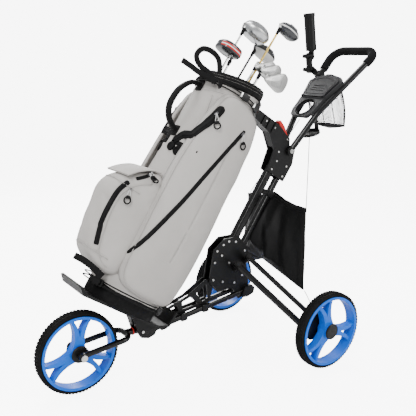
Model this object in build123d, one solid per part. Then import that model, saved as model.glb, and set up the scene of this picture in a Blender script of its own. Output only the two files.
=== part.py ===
"""Three-wheel golf push cart with a stand-free cart bag and seven clubs.

Millimetres, +Z up, ground at Z = 0.  The front wheel is towards -Y, the handle
towards +Y, and the cart is symmetric about X = 0 apart from the umbrella holder
and the clubs.  The origin is at the bottom centre of the whole object.
"""
from math import cos, radians, sin
import os

from build123d import *

os.makedirs("parts", exist_ok=True)

# Driving dimensions ---------------------------------------------------------
WHEEL_R = 146.25          # 11.5 inch wheels
WHEEL_W = 45.0
RIM_R = 131.0             # outside of the rim's flanges
TYRE_SEAT_R = 128.0
WHEELBASE = 848.0
REAR_AXLE_Y = 286.0       # rear axle, from the middle of the whole length
TRACK_X = 324.5           # middle plane of a rear wheel
AXLE_Z = WHEEL_R
FIT = 0.05                # radial clearance of a turning pin
GAP = 0.4                 # side clearance between moving faces

BAG_FOOT_Y, BAG_FOOT_Z = REAR_AXLE_Y - 700, 295.0     # middle of the bag's foot
LEAN_Y, LEAN_Z = 0.545, 0.8387             # the way that bag and mast lean
MAST_W = 336.0            # mast axis, behind the bag's axis
REAR_TUBE_W = 390.0       # rear tube axis, behind the bag's axis
CHEEK_X = 15.2            # inside of the plates that hold mast and rear tube
CHEEK_T = 6.0

UPPER_ROOT = Vector(58, REAR_AXLE_Y - 170, 382)    # upper leg pivot at the frame
LEG_RUN = Vector(207, 160, -212)                   # from a leg's root to its foot
LEG_OFFSET = Vector(0, -50, -23)                   # upper to lower pivot
LEG_PIN_R = 5.0
LEG_EYE_HALF = 11.0

BRAKE_PIVOT = (REAR_AXLE_Y + 10, 194)

FORK_PIVOT = Vector(0, REAR_AXLE_Y - 612, 172)
FRONT_AXLE = Vector(0, REAR_AXLE_Y - WHEELBASE, AXLE_Z)
FORK_X = 46.0

HANDLE_PIVOT = Vector(0, REAR_AXLE_Y + 45, 771)
HANDLE_R = 12.0
ARM_FOOT = Vector(58, REAR_AXLE_Y + 150, 915)
ARM_TOP = Vector(118, REAR_AXLE_Y + 405, 1155)

KNUCKLE_Y = REAR_AXLE_Y + 284.7            # plane between the umbrella ears
LOWER_KNUCKLE = (-134.0, 1078.0)           # X, Z
UPPER_KNUCKLE = (-140.0, 1132.0)
UMBRELLA_R, UMBRELLA_BORE = 22.0, 18.0

BAG = Plane(origin=(0, BAG_FOOT_Y, BAG_FOOT_Z), x_dir=(1, 0, 0), z_dir=(0, LEAN_Y, LEAN_Z))


# Helpers --------------------------------------------------------------------
def lean(w, u):
    """(Y, Z) of a point w behind the bag's axis and u up along it."""
    p = BAG.from_local_coords(Vector(0, w, u))
    return p.Y, p.Z


def rear(y, z):
    """(Y, Z) of a point given from the rear axle's line."""
    return y + REAR_AXLE_Y, z


def plate(points, x0, x1, corner=0.0):
    """A plate between x0 and x1 with the outline points, each (Y, Z)."""
    face = Polygon(*points, align=None)
    if corner:
        face = fillet(face.vertices(), corner)
    return extrude(Plane.YZ.offset(x0) * face, amount=x1 - x0, dir=(1, 0, 0))


def both(shape):
    """The shape and its mirror image across X = 0."""
    return [shape, mirror(shape, about=Plane.YZ)]


def rod(a, b, radius):
    """A round rod from a to b."""
    a, b = Vector(a), Vector(b)
    run = b - a
    return Solid.make_cylinder(radius, run.length, Plane(origin=a, z_dir=run))


def pin_x(x0, x1, y, z, radius):
    """A round pin along X."""
    return rod((x0, y, z), (x1, y, z), radius)


def box_tube(w, u0, u1, width, depth, corner, wall):
    """A leaning rounded box tube, its axis w behind the bag's axis."""
    start = BAG * Pos(0, w, u0)
    outer = extrude(start * RectangleRounded(width, depth, corner), amount=u1 - u0)
    inner = extrude(start * RectangleRounded(width - 2 * wall, depth - 2 * wall, corner - wall),
                    amount=u1 - u0)
    return outer - inner


def swept(points, radii, radius):
    """A round bar along straight runs joined by tangent arcs."""
    path = FilletPolyline(*points, radius=radii) if radii else Polyline(*points)
    return sweep(Plane(origin=path @ 0, z_dir=path % 0) * Circle(radius), path=path)


def polyhedron(points, faces):
    """A closed solid from corner points and triangles of their numbers."""
    skins = [Face(Wire.make_polygon([points[i] for i in f], close=True)) for f in faces]
    return Solid(Shell(skins))


def save(node, *shapes):
    """Writes the node's solids to one STEP file."""
    solids = [s for shape in shapes for s in shape.solids()]
    body = solids[0] if len(solids) == 1 else Compound(children=solids)
    export_step(body, f"parts/{node}.step")


# Wheels ---------------------------------------------------------------------
def ring_of(points):
    """A ring turned about X from an outline of (x, radius) points."""
    return revolve(Polygon(*points, align=None), Axis.X)


def spoke_blade(side):
    """Half of a forked spoke: one curved web, from the hub to the rim."""
    foot, waist, rim_out = (-26 * side, 8), (-18 * side, 60), (-40 * side, 119.5)
    rim_in, throat, fork = (-30 * side, 122), (-10 * side, 92), (0, 56)
    outline = [
        ThreePointArc(foot, waist, rim_out), Line(rim_out, rim_in),
        ThreePointArc(rim_in, throat, fork), Line(fork, (0, 8)), Line((0, 8), foot),
    ]
    return make_face(outline)


def rim(bore, first_angle):
    """A plastic rim on the X axis with three forked spokes and a hub."""
    half = WHEEL_W / 2
    barrel = ring_of([(-half, 121), (half, 121), (half, RIM_R), (half - 3, RIM_R),
                      (half - 4, TYRE_SEAT_R), (4 - half, TYRE_SEAT_R), (3 - half, RIM_R),
                      (-half, RIM_R)])
    spoke = spoke_blade(1) + spoke_blade(-1)
    body = barrel + pin_x(-half, half, 0, 0, 27)
    for turn in range(3):
        angle = first_angle + 120 * turn - 90
        body += extrude(Plane.YZ.offset(-15) * Rot(0, 0, angle) * spoke, amount=30, dir=(1, 0, 0))
    return body - pin_x(-half - 1, half + 1, 0, 0, bore)


def tyre():
    """A grooved tyre on the rim's seat."""
    shoulder, wall = 19.0, 17.5
    points = [(-shoulder + 0.5, TYRE_SEAT_R), (shoulder - 0.5, TYRE_SEAT_R),
              (shoulder, 134), (wall, 141), (13, 145), (0, WHEEL_R), (-13, 145),
              (-wall, 141), (-shoulder, 134)]
    return ring_of(points)


def hub_cap(inner, bore):
    """A domed cap against the hub's face at local x = inner."""
    cap = ring_of([(inner, 0.0), (inner, 30), (inner + 2.5, 30), (inner + 5.5, 26), (inner + 6, 0.0)])
    return cap - pin_x(inner - 1, inner + 8, 0, 0, bore) if bore else cap


def make_front_wheel():
    """The front wheel, turning on the fork's axle."""
    place = Pos(*FRONT_AXLE)
    bore = 6 + FIT
    near = hub_cap(WHEEL_W / 2, bore)
    save("front_rim", place * rim(bore, 85))
    save("front_tyre", place * tyre())
    save("front_hub_caps", place * near, place * mirror(near, about=Plane.YZ))


def make_rear_wheels():
    """The two rear wheels, each on its own stub axle."""
    for side, name in ((1, "right"), (-1, "left")):
        place = Pos(side * TRACK_X, REAR_AXLE_Y, AXLE_Z)
        flip = (lambda s: s) if side > 0 else (lambda s: mirror(s, about=Plane.YZ))
        save(f"rim_{name}", place * flip(rim(8 + FIT, 105)))
        save(f"tyre_{name}", place * tyre())
        save(f"hub_cap_{name}", place * flip(hub_cap(WHEEL_W / 2, 0)))


# Folding rear legs ----------------------------------------------------------
LEG_AXIS = LEG_RUN.cross(LEG_OFFSET * -1).normalized()
LOWER_ROOT = UPPER_ROOT + LEG_OFFSET
UPPER_FOOT = UPPER_ROOT + LEG_RUN
LOWER_FOOT = LOWER_ROOT + LEG_RUN


def leg_bar(root, foot, radius, eye_r):
    """A bar with an eye at each end, for pins along the leg's hinge axis."""
    reach = LEG_AXIS * LEG_EYE_HALF
    bar = rod(root, foot, radius)
    for end in (root, foot):
        bar += rod(end - reach, end + reach, eye_r)
        bar -= rod(end - reach * 3, end + reach * 3, eye_r) - rod(end - reach, end + reach, eye_r)
    for end in (root, foot):
        bar -= rod(end - reach * 3, end + reach * 3, LEG_PIN_R + FIT)
    return bar


def leg_pin(at, inward, towards_x):
    """A pin through a bar's eye, with a boss that reaches the plate at towards_x."""
    out = LEG_AXIS * (-1 if inward else 1)
    face = at + out * (LEG_EYE_HALF + GAP)
    to_plate = (towards_x - face.X) / out.X
    boss = rod(face, face + out * to_plate, 11)
    shank = rod(face, at - out * (LEG_EYE_HALF + GAP), LEG_PIN_R)
    head = rod(at - out * (LEG_EYE_HALF + GAP), at - out * (LEG_EYE_HALF + 4), 9)
    return boss + shank + head


def hub_plate():
    """The right wheel carrier: a plate with two leg pins and a stub axle."""
    x0, x1 = 287.0, 299.0
    outline = [rear(-88, 132), rear(-60, 108), rear(8, 112), rear(28, 130), rear(30, 165),
               rear(12, 205), rear(-30, 205), rear(-88, 160)]
    carrier = plate(outline, x0, x1, 8)
    pins = leg_pin(UPPER_FOOT, False, x0 + 1) + leg_pin(LOWER_FOOT, False, x0 + 1)
    return carrier + pins


def make_legs():
    """Parallelogram legs, wheel carriers, stub axles and the foot brake."""
    upper = leg_bar(UPPER_ROOT, UPPER_FOOT, 9.5, 13)
    lower = leg_bar(LOWER_ROOT, LOWER_FOOT, 12.5, 14)
    axle = pin_x(290, TRACK_X + 20, REAR_AXLE_Y, AXLE_Z, 8) + pin_x(298, 301.5, REAR_AXLE_Y, AXLE_Z, 14)
    carrier = hub_plate() + axle
    for name, shape in (("upper_leg", upper), ("lower_leg", lower)):
        save(f"{name}_right", shape)
        save(f"{name}_left", mirror(shape, about=Plane.YZ))
    y, z = BRAKE_PIVOT
    brake_pin = pin_x(264, 288, y, z, 3) + pin_x(264, 267.6, y, z, 6)
    save("wheel_carrier_right", carrier + brake_pin)
    save("wheel_carrier_left", mirror(carrier, about=Plane.YZ))
    pedal = plate([(y - 8, z - 7), (y + 8, z - 8), (y + 44, z + 12), (y + 42, z + 22), (y - 4, z + 9)],
                  268, 286.6, 3)
    save("brake_pedal", pedal - pin_x(260, 299, y, z, 3 + FIT))


# Front fork -----------------------------------------------------------------
def make_fork():
    """The front fork, which folds under the frame about its eye."""
    crown_y = REAR_AXLE_Y - 668
    stem_end = Vector(0, crown_y + 2, 171)
    eye = pin_x(-15, 15, FORK_PIVOT.Y, FORK_PIVOT.Z, 14)
    route = [(FORK_X, FRONT_AXLE.Y, AXLE_Z + 3), (FORK_X, crown_y, 171), (-FORK_X, crown_y, 171),
             (-FORK_X, FRONT_AXLE.Y, AXLE_Z + 3)]
    fork = swept(route, [32, 32], 10) + rod(FORK_PIVOT, stem_end, 12.5) + eye
    for side in (1, -1):
        fork += pin_x(side * (FORK_X - 10.5), side * (FORK_X + 10.5), FRONT_AXLE.Y, AXLE_Z, 15)
    fork -= pin_x(-30, 30, FORK_PIVOT.Y, FORK_PIVOT.Z, 5 + FIT)
    fork -= pin_x(-80, 80, FRONT_AXLE.Y, AXLE_Z, 6)
    axle = pin_x(-64, 64, FRONT_AXLE.Y, AXLE_Z, 6)
    nut = pin_x(FORK_X + 10.5, FORK_X + 17, FRONT_AXLE.Y, AXLE_Z, 11)
    spacer = pin_x(29.2, FORK_X - 10.5, FRONT_AXLE.Y, AXLE_Z, 10)
    axle += nut + mirror(nut, about=Plane.YZ) + spacer + mirror(spacer, about=Plane.YZ)
    save("fork", fork)
    save("front_axle", axle)


# Frame ----------------------------------------------------------------------
RAIL_FRONT = rear(-600, 165)
RAIL_REAR = rear(-150, 235)


def rail_z(y):
    """Height of the rail's middle at y."""
    share = (y - RAIL_FRONT[0]) / (RAIL_REAR[0] - RAIL_FRONT[0])
    return RAIL_FRONT[1] + share * (RAIL_REAR[1] - RAIL_FRONT[1])


def make_rail():
    """Two slim tubes from the fork's bracket to the rear casting."""
    run = Vector(0, RAIL_REAR[0] - RAIL_FRONT[0], RAIL_REAR[1] - RAIL_FRONT[1])
    tubes = []
    for side in (1, -1):
        start = Plane(origin=(side * 22, *RAIL_FRONT), x_dir=(1, 0, 0), z_dir=run)
        tubes.append(extrude(start * (RectangleRounded(14, 20, 5) - RectangleRounded(10, 16, 3)),
                             amount=run.length))
    save("lower_rail", *tubes)
    rails = [rail_solid(side) for side in (1, -1)]
    clip = BAG * Pos(0, REAR_TUBE_W, 622) * Box(34, 34, 22)
    clip -= extrude(BAG * Pos(0, REAR_TUBE_W, 600) * RectangleRounded(26, 22, 8), amount=50)
    save("clamps", *[c - rails[0] - rails[1] for c in clamp_blocks()], clip)
    return rails


def rail_solid(side):
    """One rail tube without its hollow, for cutting its neighbours."""
    run = Vector(0, RAIL_REAR[0] - RAIL_FRONT[0], RAIL_REAR[1] - RAIL_FRONT[1])
    start = Plane(origin=(side * 22, *RAIL_FRONT), x_dir=(1, 0, 0), z_dir=run)
    return extrude(start * RectangleRounded(14, 20, 5), amount=run.length)


def clamp_blocks():
    """The three blocks that tie the two rail tubes together."""
    blocks = []
    for back, half in ((-526, 14), (-440, 13), (-345, 13)):
        y = REAR_AXLE_Y + back
        z = rail_z(y)
        blocks.append(plate([(y - half, z - 16), (y + half, z - 13), (y + half, z + 15),
                             (y - half, z + 12)], -32, 32, 4))
    return blocks


def make_front_bracket(rails):
    """The casting that joins the rail to the fork's hinge."""
    y, z = FORK_PIVOT.Y, FORK_PIVOT.Z
    seat = [lean(66, -18.8), lean(144, -18.8)]
    outline = [rear(-642, 208), *seat, rear(-562, 188), rear(-548, 178), rear(-564, 150),
               rear(-588, 142), rear(-618, 150), rear(-632, 174)]
    cheeks = both(plate(outline, 15.6, 29, 4))
    bridge = plate([rear(-646, 202), *seat, rear(-564, 186), rear(-552, 178), rear(-566, 152),
                    rear(-588, 150), rear(-590, 182), rear(-602, 192)], -16, 16)
    bracket = cheeks[0] + cheeks[1] + bridge - rails[0] - rails[1]
    bracket -= pin_x(-40, 40, y, z, 5)
    save("front_bracket", bracket)


def make_mast():
    """The mast and the thinner tube behind it."""
    save("mast", box_tube(MAST_W, 342, 800, 30, 32, 9, 2.5))
    save("rear_tube", box_tube(REAR_TUBE_W, 338, 796, 26, 22, 8, 2.0))


def make_central_bracket(rails):
    """Two plates that hold mast, rear tube, rail and leg roots together."""
    outline = [rear(-305, 420), rear(-258, 458), rear(-190, 458), rear(-142, 408), rear(-150, 345),
               rear(-138, 262), rear(-150, 214), rear(-186, 206), rear(-215, 255), rear(-290, 262),
               rear(-325, 300)]
    cheeks = both(plate(outline, CHEEK_X, CHEEK_X + CHEEK_T, 9))
    rear_web = plate([rear(-152, 300), rear(-142, 262), rear(-154, 240), rear(-176, 244),
                      rear(-184, 285)], -CHEEK_X, CHEEK_X)
    front_web = plate([rear(-296, 300), rear(-278, 272), rear(-262, 272), rear(-284, 318)],
                      -CHEEK_X, CHEEK_X)
    bracket = cheeks[0] + cheeks[1] + rear_web + front_web - rails[0] - rails[1]
    for root in (UPPER_ROOT, LOWER_ROOT):
        boss = leg_pin(root, True, CHEEK_X + CHEEK_T - 1)
        bracket += boss + mirror(boss, about=Plane.YZ)
    tubes = extrude(BAG * Pos(0, MAST_W, 342) * RectangleRounded(30, 32, 9), amount=300)
    tubes += extrude(BAG * Pos(0, REAR_TUBE_W, 338) * RectangleRounded(26, 22, 8), amount=300)
    save("central_bracket", bracket - tubes)
    lugs = both(plate([rear(-178, 214), rear(-150, 212), rear(-122, 222), rear(-116, 244),
                       rear(-130, 258), rear(-164, 254)], CHEEK_X + CHEEK_T, 36, 4))
    save("rear_casting", *[lug - rails[0] - rails[1] for lug in lugs])


def rivet(y, z, x, radius):
    """A domed rivet head standing on the outside of a plate at x."""
    head = pin_x(x, x + 2.2, y, z, radius)
    return chamfer(head.faces().sort_by(Axis.X)[-1].edges(), 1.0)


def make_rivets():
    """The bright rivets and bolts of both brackets."""
    lower = [(-290, 416), (-262, 436), (-236, 446), (-204, 440), (-160, 398), (-300, 372), (-268, 395),
             (-232, 360), (-170, 300), (-206, 276), (-262, 290), (-306, 305)]
    heads = []
    for y, z in lower:
        heads += both(rivet(*rear(y, z), CHEEK_X + CHEEK_T, 4.5))
    for w, u in ((330, 704), (394, 706), (334, 742), (390, 748), (322, 776), (250, 842), (200, 842)):
        heads += both(rivet(*lean(w, u), CHEEK_X + CHEEK_T, 4.0))
    save("rivets", *heads)


def make_upper_bracket():
    """The ribbed bracket at the top of the mast. Gives back the handle's hinge pin."""
    outline = [lean(*p) for p in ((312, 690), (410, 690), (412, 770), (392, 818), (356, 824),
                                  (340, 846), (316, 850), (262, 862), (129, 858), (129, 824),
                                  (236, 812), (296, 770))]
    cheeks = both(plate(outline, CHEEK_X, CHEEK_X + CHEEK_T, 5))
    neck = plate([lean(*p) for p in ((131, 857), (131, 825), (236, 813), (288, 778), (300, 806),
                                     (258, 860))], -CHEEK_X, CHEEK_X)
    web = plate([lean(*p) for p in ((356, 696), (378, 696), (378, 760), (356, 760))], -CHEEK_X, CHEEK_X)
    tubes = extrude(BAG * Pos(0, MAST_W, 600) * RectangleRounded(30, 32, 9), amount=260)
    tubes += extrude(BAG * Pos(0, REAR_TUBE_W, 600) * RectangleRounded(26, 22, 8), amount=260)
    y, z = HANDLE_PIVOT.Y, HANDLE_PIVOT.Z
    body = cheeks[0] + cheeks[1] + neck + (web - tubes)
    for w in (180, 210, 240):
        rib = plate([lean(w, 816), lean(w + 6, 816), lean(w + 6, 858), lean(w, 858)],
                    CHEEK_X + CHEEK_T, CHEEK_X + CHEEK_T + 5)
        body += rib + mirror(rib, about=Plane.YZ)
    save("upper_bracket", body - pin_x(-60, 60, y, z, 5) - pin_x(-60, 60, *lean(330, 836), 3))
    pin = pin_x(-39, 39, y, z, 5)
    for x in (35.2, -39):
        pin += pin_x(x, x + 3.8, y, z, 9)
    return pin


def arc_band(r0, r1, u0, u1, start, end):
    """Part of a ring about the bag's axis. 0 degrees points behind the bag."""
    ring = extrude(BAG * Pos(0, 0, u0) * (Circle(r1) - Circle(r0)), amount=u1 - u0)
    reach = 2 * r1
    steps = 8
    corners = [(0, 0)]
    for i in range(steps + 1):
        a = radians(start + (end - start) * i / steps)
        corners.append((reach * sin(a), reach * cos(a)))
    wedge = extrude(BAG * Pos(0, 0, u0 - 5) * Polygon(*corners, align=None), amount=u1 - u0 + 10,
                    dir=(0, LEAN_Y, LEAN_Z))
    return ring & wedge


def make_cradles():
    """The upper arms and the lower scoop that carry the bag, and the scoop's struts."""
    arms = arc_band(122, 129, 806, 850, -58, 58)
    save("upper_cradle", arms)
    profile = [lean(*p) for p in ((-196, 2), (-176, -18), (148, -18), (192, 4), (198, 58), (190, 58),
                                  (184, 8), (146, -8), (-172, -8), (-189, 8))]
    save("lower_cradle", plate(profile, -84, 84))
    outline = [lean(193.5, 4), lean(199.5, 58), rear(-420, 262), rear(-335, 312), rear(-306, 300),
               rear(-304, 270), rear(-318, 222), rear(-528, 188)]
    windows = [[rear(-500, 208), rear(-494, 226), rear(-462, 236), rear(-456, 212)],
               [rear(-438, 214), rear(-440, 243), rear(-400, 257), rear(-368, 224)],
               [rear(-352, 228), rear(-378, 264), rear(-334, 294), rear(-324, 232)]]
    strut = plate(outline, 10, CHEEK_X - 0.2)
    for window in windows:
        strut -= plate(window, 0, 40)
    for block in clamp_blocks():
        strut -= block
    save("cradle_struts", *both(strut))


# Handle, console and umbrella holder ----------------------------------------
SLOPE = (ARM_TOP - Vector(118, ARM_FOOT.Y, ARM_FOOT.Z)).normalized()
CONSOLE = Plane(origin=(0, ARM_FOOT.Y, ARM_FOOT.Z), x_dir=(1, 0, 0), z_dir=(0, -SLOPE.Z, SLOPE.Y))


def make_handle():
    """The bent handle tube with its hinge eyes, and the foam grip on it."""
    y, z = HANDLE_PIVOT.Y, HANDLE_PIVOT.Z
    route = [(30, y + 8, z + 11), tuple(ARM_FOOT), tuple(ARM_TOP), (-ARM_TOP.X, ARM_TOP.Y, ARM_TOP.Z),
             (-ARM_FOOT.X, ARM_FOOT.Y, ARM_FOOT.Z), (-30, y + 8, z + 11)]
    tube = swept(route, [90, 46, 46, 90], HANDLE_R)
    far = CHEEK_X + CHEEK_T
    eye = pin_x(far + GAP, 34.8, y, z, 18)
    keep_out = plate([(y - 60, z - 60), (y + 40, z - 60), (y + 40, z + 60), (y - 60, z + 60)],
                     -far - GAP, far + GAP)
    tube += eye + mirror(eye, about=Plane.YZ)
    tube -= pin_x(34.8, 60, y, z, 10) + pin_x(-60, -34.8, y, z, 10)
    save("handle_tube", tube - keep_out - pin_x(-60, 60, y, z, 5 + FIT))
    near, far = ARM_TOP, Vector(-ARM_TOP.X, ARM_TOP.Y, ARM_TOP.Z)
    near_arm = near + (ARM_FOOT - near) * 0.19
    far_arm = far + (Vector(-ARM_FOOT.X, ARM_FOOT.Y, ARM_FOOT.Z) - far) * 0.30
    grip_route = [tuple(p) for p in (near_arm, near, far, far_arm)]
    foam = swept(grip_route, [46, 46], HANDLE_R + 5) - swept(grip_route, [46, 46], HANDLE_R)
    save("foam_grip", foam)


def make_console():
    """The console plate with its lid, cup hole, cup dish and net pocket."""
    outline = Polygon((-46, -42), (46, -42), (60, -10), (66, 60), (92, 150), (70, 172), (0, 190),
                      (-70, 172), (-92, 150), (-66, 60), (-60, -10), align=None)
    outline = fillet(outline.vertices(), 12)
    up = (0, -SLOPE.Z, SLOPE.Y)
    base = extrude(CONSOLE * Pos(0, 0, 12.6) * outline, amount=13, dir=up)
    lid_outline = Polygon((-56, 61.6), (56, 61.6), (78, 146), (62, 162), (0, 178), (-62, 162), (-78, 146),
                          align=None)
    lid = extrude(CONSOLE * Pos(0, 0, 25.6 + GAP) * fillet(lid_outline.vertices(), 10), amount=6, dir=up)
    cup_mouth = CONSOLE.from_local_coords(Vector(0, 6, 20))
    down = Vector(0, 0.295, -0.955)
    base -= rod(cup_mouth - down * 40, cup_mouth + down * 40, 37)
    rib = CONSOLE * Pos(0, 56.5, 25.6) * Box(100, 4, 2, align=(Align.CENTER, Align.CENTER, Align.MIN))
    y, z = lid_hinge_point()
    base -= pin_x(-60, 60, y, z, 5.2)
    hinge = both(plate([(y - 5, z - 9), (y + 5, z - 4), (y + 3, z + 4), (y - 5, z + 2)], 59.5, 63))
    save("console", base + rib + hinge[0] + hinge[1] + pin_x(-61, 61, y, z, 2))
    save("console_lid", lid - pin_x(-60, 60, y, z, 2 + FIT))
    dish_at = cup_mouth + down * 112
    dish = rod(dish_at, dish_at - down * 12, 40) - rod(dish_at - down * 3, dish_at - down * 13, 36.5)
    side_plane = [(dish_at.Y + 34, dish_at.Z + 12), (dish_at.Y + 40, dish_at.Z + 14),
                  (cup_mouth.Y + 46, cup_mouth.Z + 6), (cup_mouth.Y + 40, cup_mouth.Z + 2)]
    strut = plate(side_plane, -9, 9) - extrude(CONSOLE * Pos(0, 0, 12.6) * outline, amount=30, dir=up)
    save("cup_dish", dish + strut)
    net = plate([rear(224, 950), rear(292, 1018), rear(318, 990), rear(314, 860), rear(254, 845),
                 rear(218, 862)], -84, 84, 6)
    console_slab = extrude(CONSOLE * Pos(0, 0, -14) * Rectangle(400, 700), amount=100)
    save("net_pocket", net - console_slab)


def lid_hinge_point():
    """(Y, Z) of the console lid's hinge line, near its lower edge."""
    p = CONSOLE.from_local_coords(Vector(0, 65, 29))
    return p.Y, p.Z


def make_latch():
    """The red lever that frees the handle. Gives back its pin."""
    y, z = lean(330, 836)
    outline = [lean(*p) for p in ((262, 874), (268, 884), (300, 874), (334, 852), (347, 838), (344, 826),
                                  (326, 824), (296, 854))]
    lever = plate(outline, -10, 10, 2.5) - pin_x(-20, 20, y, z, 3 + FIT)
    save("latch_lever", lever)
    return pin_x(-CHEEK_X - CHEEK_T - 2, CHEEK_X + CHEEK_T + 2, y, z, 3)


def wing_knob(x, z):
    """A two-winged clamping knob whose screw runs through both ears."""
    y_face = KNUCKLE_Y - 14
    head = rod((x, y_face - 0.3, z), (x, y_face - 15, z), 9)
    wing = Pos(x, y_face - 10, z) * Box(36, 9, 15)
    screw = rod((x, y_face - 1, z), (x, KNUCKLE_Y + 11, z), 4)
    return head + fillet(wing.edges().filter_by(Axis.Y), 6) + screw


def ear(x, z, y0, y1, radius=15):
    """A round ear between y0 and y1 with a hole for the clamping screw."""
    return rod((x, y0, z), (x, y1, z), radius) - rod((x, y0 - 1, z), (x, y1 + 1, z), 4 + FIT)


def make_umbrella_holder():
    """Clamp, link and tube of the umbrella holder, and their two knobs."""
    lower, upper = LOWER_KNUCKLE, UPPER_KNUCKLE
    share = 205 / 350.2
    arm_at = Vector(-(58 + 60 * share), ARM_FOOT.Y + 205 * SLOPE.Y, ARM_FOOT.Z + 205 * SLOPE.Z)
    arm_run = Vector(-60, 350.2 * SLOPE.Y, 350.2 * SLOPE.Z).normalized()
    ring = rod(arm_at - arm_run * 12, arm_at + arm_run * 12, 18)
    back, front = KNUCKLE_Y + 10, KNUCKLE_Y + 0.3
    web = extrude(Plane.XZ.offset(-back) * Polygon((lower[0] + 6, lower[1] - 14), (arm_at.X - 8, arm_at.Z - 8),
                  (arm_at.X + 2, arm_at.Z + 14), (lower[0] + 8, lower[1] + 12), align=None),
                  amount=back - front, dir=(0, -1, 0))
    clamp = ring + web + rod((lower[0], front, lower[1]), (lower[0], back, lower[1]), 15)
    clamp -= rod(arm_at - arm_run * 40, arm_at + arm_run * 40, HANDLE_R + 0.1)
    clamp -= rod((lower[0], front - 5, lower[1]), (lower[0], back + 5, lower[1]), 4 + FIT)
    save("umbrella_clamp", clamp)
    link = ear(*lower, KNUCKLE_Y - 14, KNUCKLE_Y) + ear(*upper, KNUCKLE_Y - 14, KNUCKLE_Y)
    bar = extrude(Plane.XZ.offset(-KNUCKLE_Y) * Polygon((lower[0] - 12, lower[1] + 8), (lower[0] + 12, lower[1] + 10),
                  (upper[0] + 12, upper[1] - 8), (upper[0] - 12, upper[1] - 10), align=None), amount=14,
                  dir=(0, -1, 0))
    link += bar
    for x, z in (lower, upper):
        link -= rod((x, KNUCKLE_Y - 20, z), (x, KNUCKLE_Y + 5, z), 4 + FIT)
    save("umbrella_link", link)
    foot = Vector(upper[0], KNUCKLE_Y + 4, upper[1] + 24)
    top = Vector(upper[0], KNUCKLE_Y - 19, 1304)
    run = (top - foot).normalized()
    tube = rod(foot, top, UMBRELLA_R) + rod(top - run * 14, top, UMBRELLA_R + 1.5)
    tube -= rod(foot + run * 10, top + run * 10, UMBRELLA_BORE)
    lug = rod((upper[0], front, upper[1]), (upper[0], back, upper[1]), 15)
    lug += Pos(upper[0], (front + back) / 2, upper[1] + 16) * Box(24, back - front, 24)
    lug -= rod((upper[0], front - 5, upper[1]), (upper[0], back + 5, upper[1]), 4 + FIT)
    save("umbrella_tube", tube + lug)
    save("lower_knob", wing_knob(*lower))
    save("upper_knob", wing_knob(*upper))


# Storage pouch --------------------------------------------------------------
def make_pouch():
    """The fabric pouch behind the rear tube and the two cords that hold it open."""
    corners = [(22, -8, 604), (165, 6, 572), (192, -6, 262), (30, -112, 420)]
    right = [Vector(x, *rear(y, z)) for x, y, z in corners]
    left = [Vector(-p.X, p.Y, p.Z) for p in right]
    points = right + left
    faces = [(0, 1, 2), (0, 2, 3), (4, 6, 5), (4, 7, 6), (0, 4, 5), (0, 5, 1), (1, 5, 6), (1, 6, 2),
             (2, 6, 7), (2, 7, 3), (3, 7, 4), (3, 4, 0)]
    save("storage_pouch", polyhedron(points, faces))
    corner, foot = right[1], right[2]
    upper = [Vector(30, *rear(140, 885)), corner + Vector(4, 4, 5)]
    lower = [foot + Vector(4, 4, -4), Vector(258, *rear(2, 188))]
    save("pouch_cords", *both(rod(*upper, 1.5)), *both(rod(*lower, 1.5)))


# Bag ------------------------------------------------------------------------
COLLAR_TILT = 11.0


def bag_outer():
    """The bag's outside, from foot to collar."""
    rows = ((-8, 116, 124, 8), (30, 124, 134, 10), (300, 121, 132, 12), (600, 118, 127, 12),
            (760, 114, 118, 5), (900, 112, 114, 0))
    return loft([BAG * Pos(0, w, u) * Ellipse(rx, rw) for u, rx, rw, w in rows])


def collar_cut(u, thickness):
    """A thick slab across the bag, tilted with its collar, from height u upwards."""
    return BAG * Pos(0, 0, u) * Rot(COLLAR_TILT, 0, 0) * Box(
        600, 600, thickness, align=(Align.CENTER, Align.CENTER, Align.MIN))


def make_bag(outer):
    """The bag's hollow body, its pockets, collar and carry handle."""
    cavity = extrude(BAG * Pos(0, 3, 34) * Circle(101), amount=1000)
    body = outer - collar_cut(843, 300) - cavity
    save("bag_body", body)
    ball = loft([BAG * Pos(0, w, u) * Rot(90, 0, 0) * RectangleRounded(wide, tall, 40)
                 for w, u, wide, tall in ((-80, 250, 190, 372), (-190, 244, 158, 336), (-258, 256, 104, 232))])
    side = loft([BAG * Pos(x, w, 425) * Rot(0, 90, 0) * RectangleRounded(tall, deep, 44)
                 for x, w, deep, tall in ((88, 30, 268, 720), (132, 30, 262, 696), (156, 28, 200, 600))])
    save("ball_pocket", ball - outer)
    save("side_pockets", *[s - outer for s in both(side - ball)])
    ring = extrude(BAG * Pos(0, 0, 760) * Circle(119), amount=240)
    ring = ring & collar_cut(843, 36)
    ring -= extrude(BAG * Pos(0, 0, 700) * Circle(99), amount=400)
    webs = BAG * Pos(0, -6, 860) * Box(200, 4, 70) + BAG * Pos(2, -53, 860) * Box(4, 96, 70)
    webs = webs & extrude(BAG * Pos(0, 0, 700) * Circle(99.5), amount=400) & collar_cut(843, 32)
    save("collar", ring + webs)
    handle = swept([(0, *lean(-112, 798)), (0, *lean(-158, 784)), (0, *lean(-184, 732)),
                    (0, *lean(-182, 672)), (0, *lean(-152, 630)), (0, *lean(-112, 616))],
                   [30, 40, 40, 30], 10)
    save("carry_handle", handle - outer)


def make_straps():
    """Bungee straps round the bag's neck and foot, and their hooks."""
    neck = [arc_band(119.5, 124.5, u, u + 5, 64, 296) for u in (812, 824)]
    save("upper_bungee", *neck)
    foot = [arc_band(144, 149, u, u + 5, 50, 310) for u in (32, 46)]
    save("lower_bungee", *foot)
    hooks = [BAG * Pos(*p) * Box(22, 16, 24) for p in ((112, -62, 818), (58, -144, 40))]
    save("strap_buckles", *[h - neck[0] - neck[1] - foot[0] - foot[1] for h in hooks])


# Clubs ----------------------------------------------------------------------
GRIP_FOOT_U = 44.0
GRIP_LEN = 270.0


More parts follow.
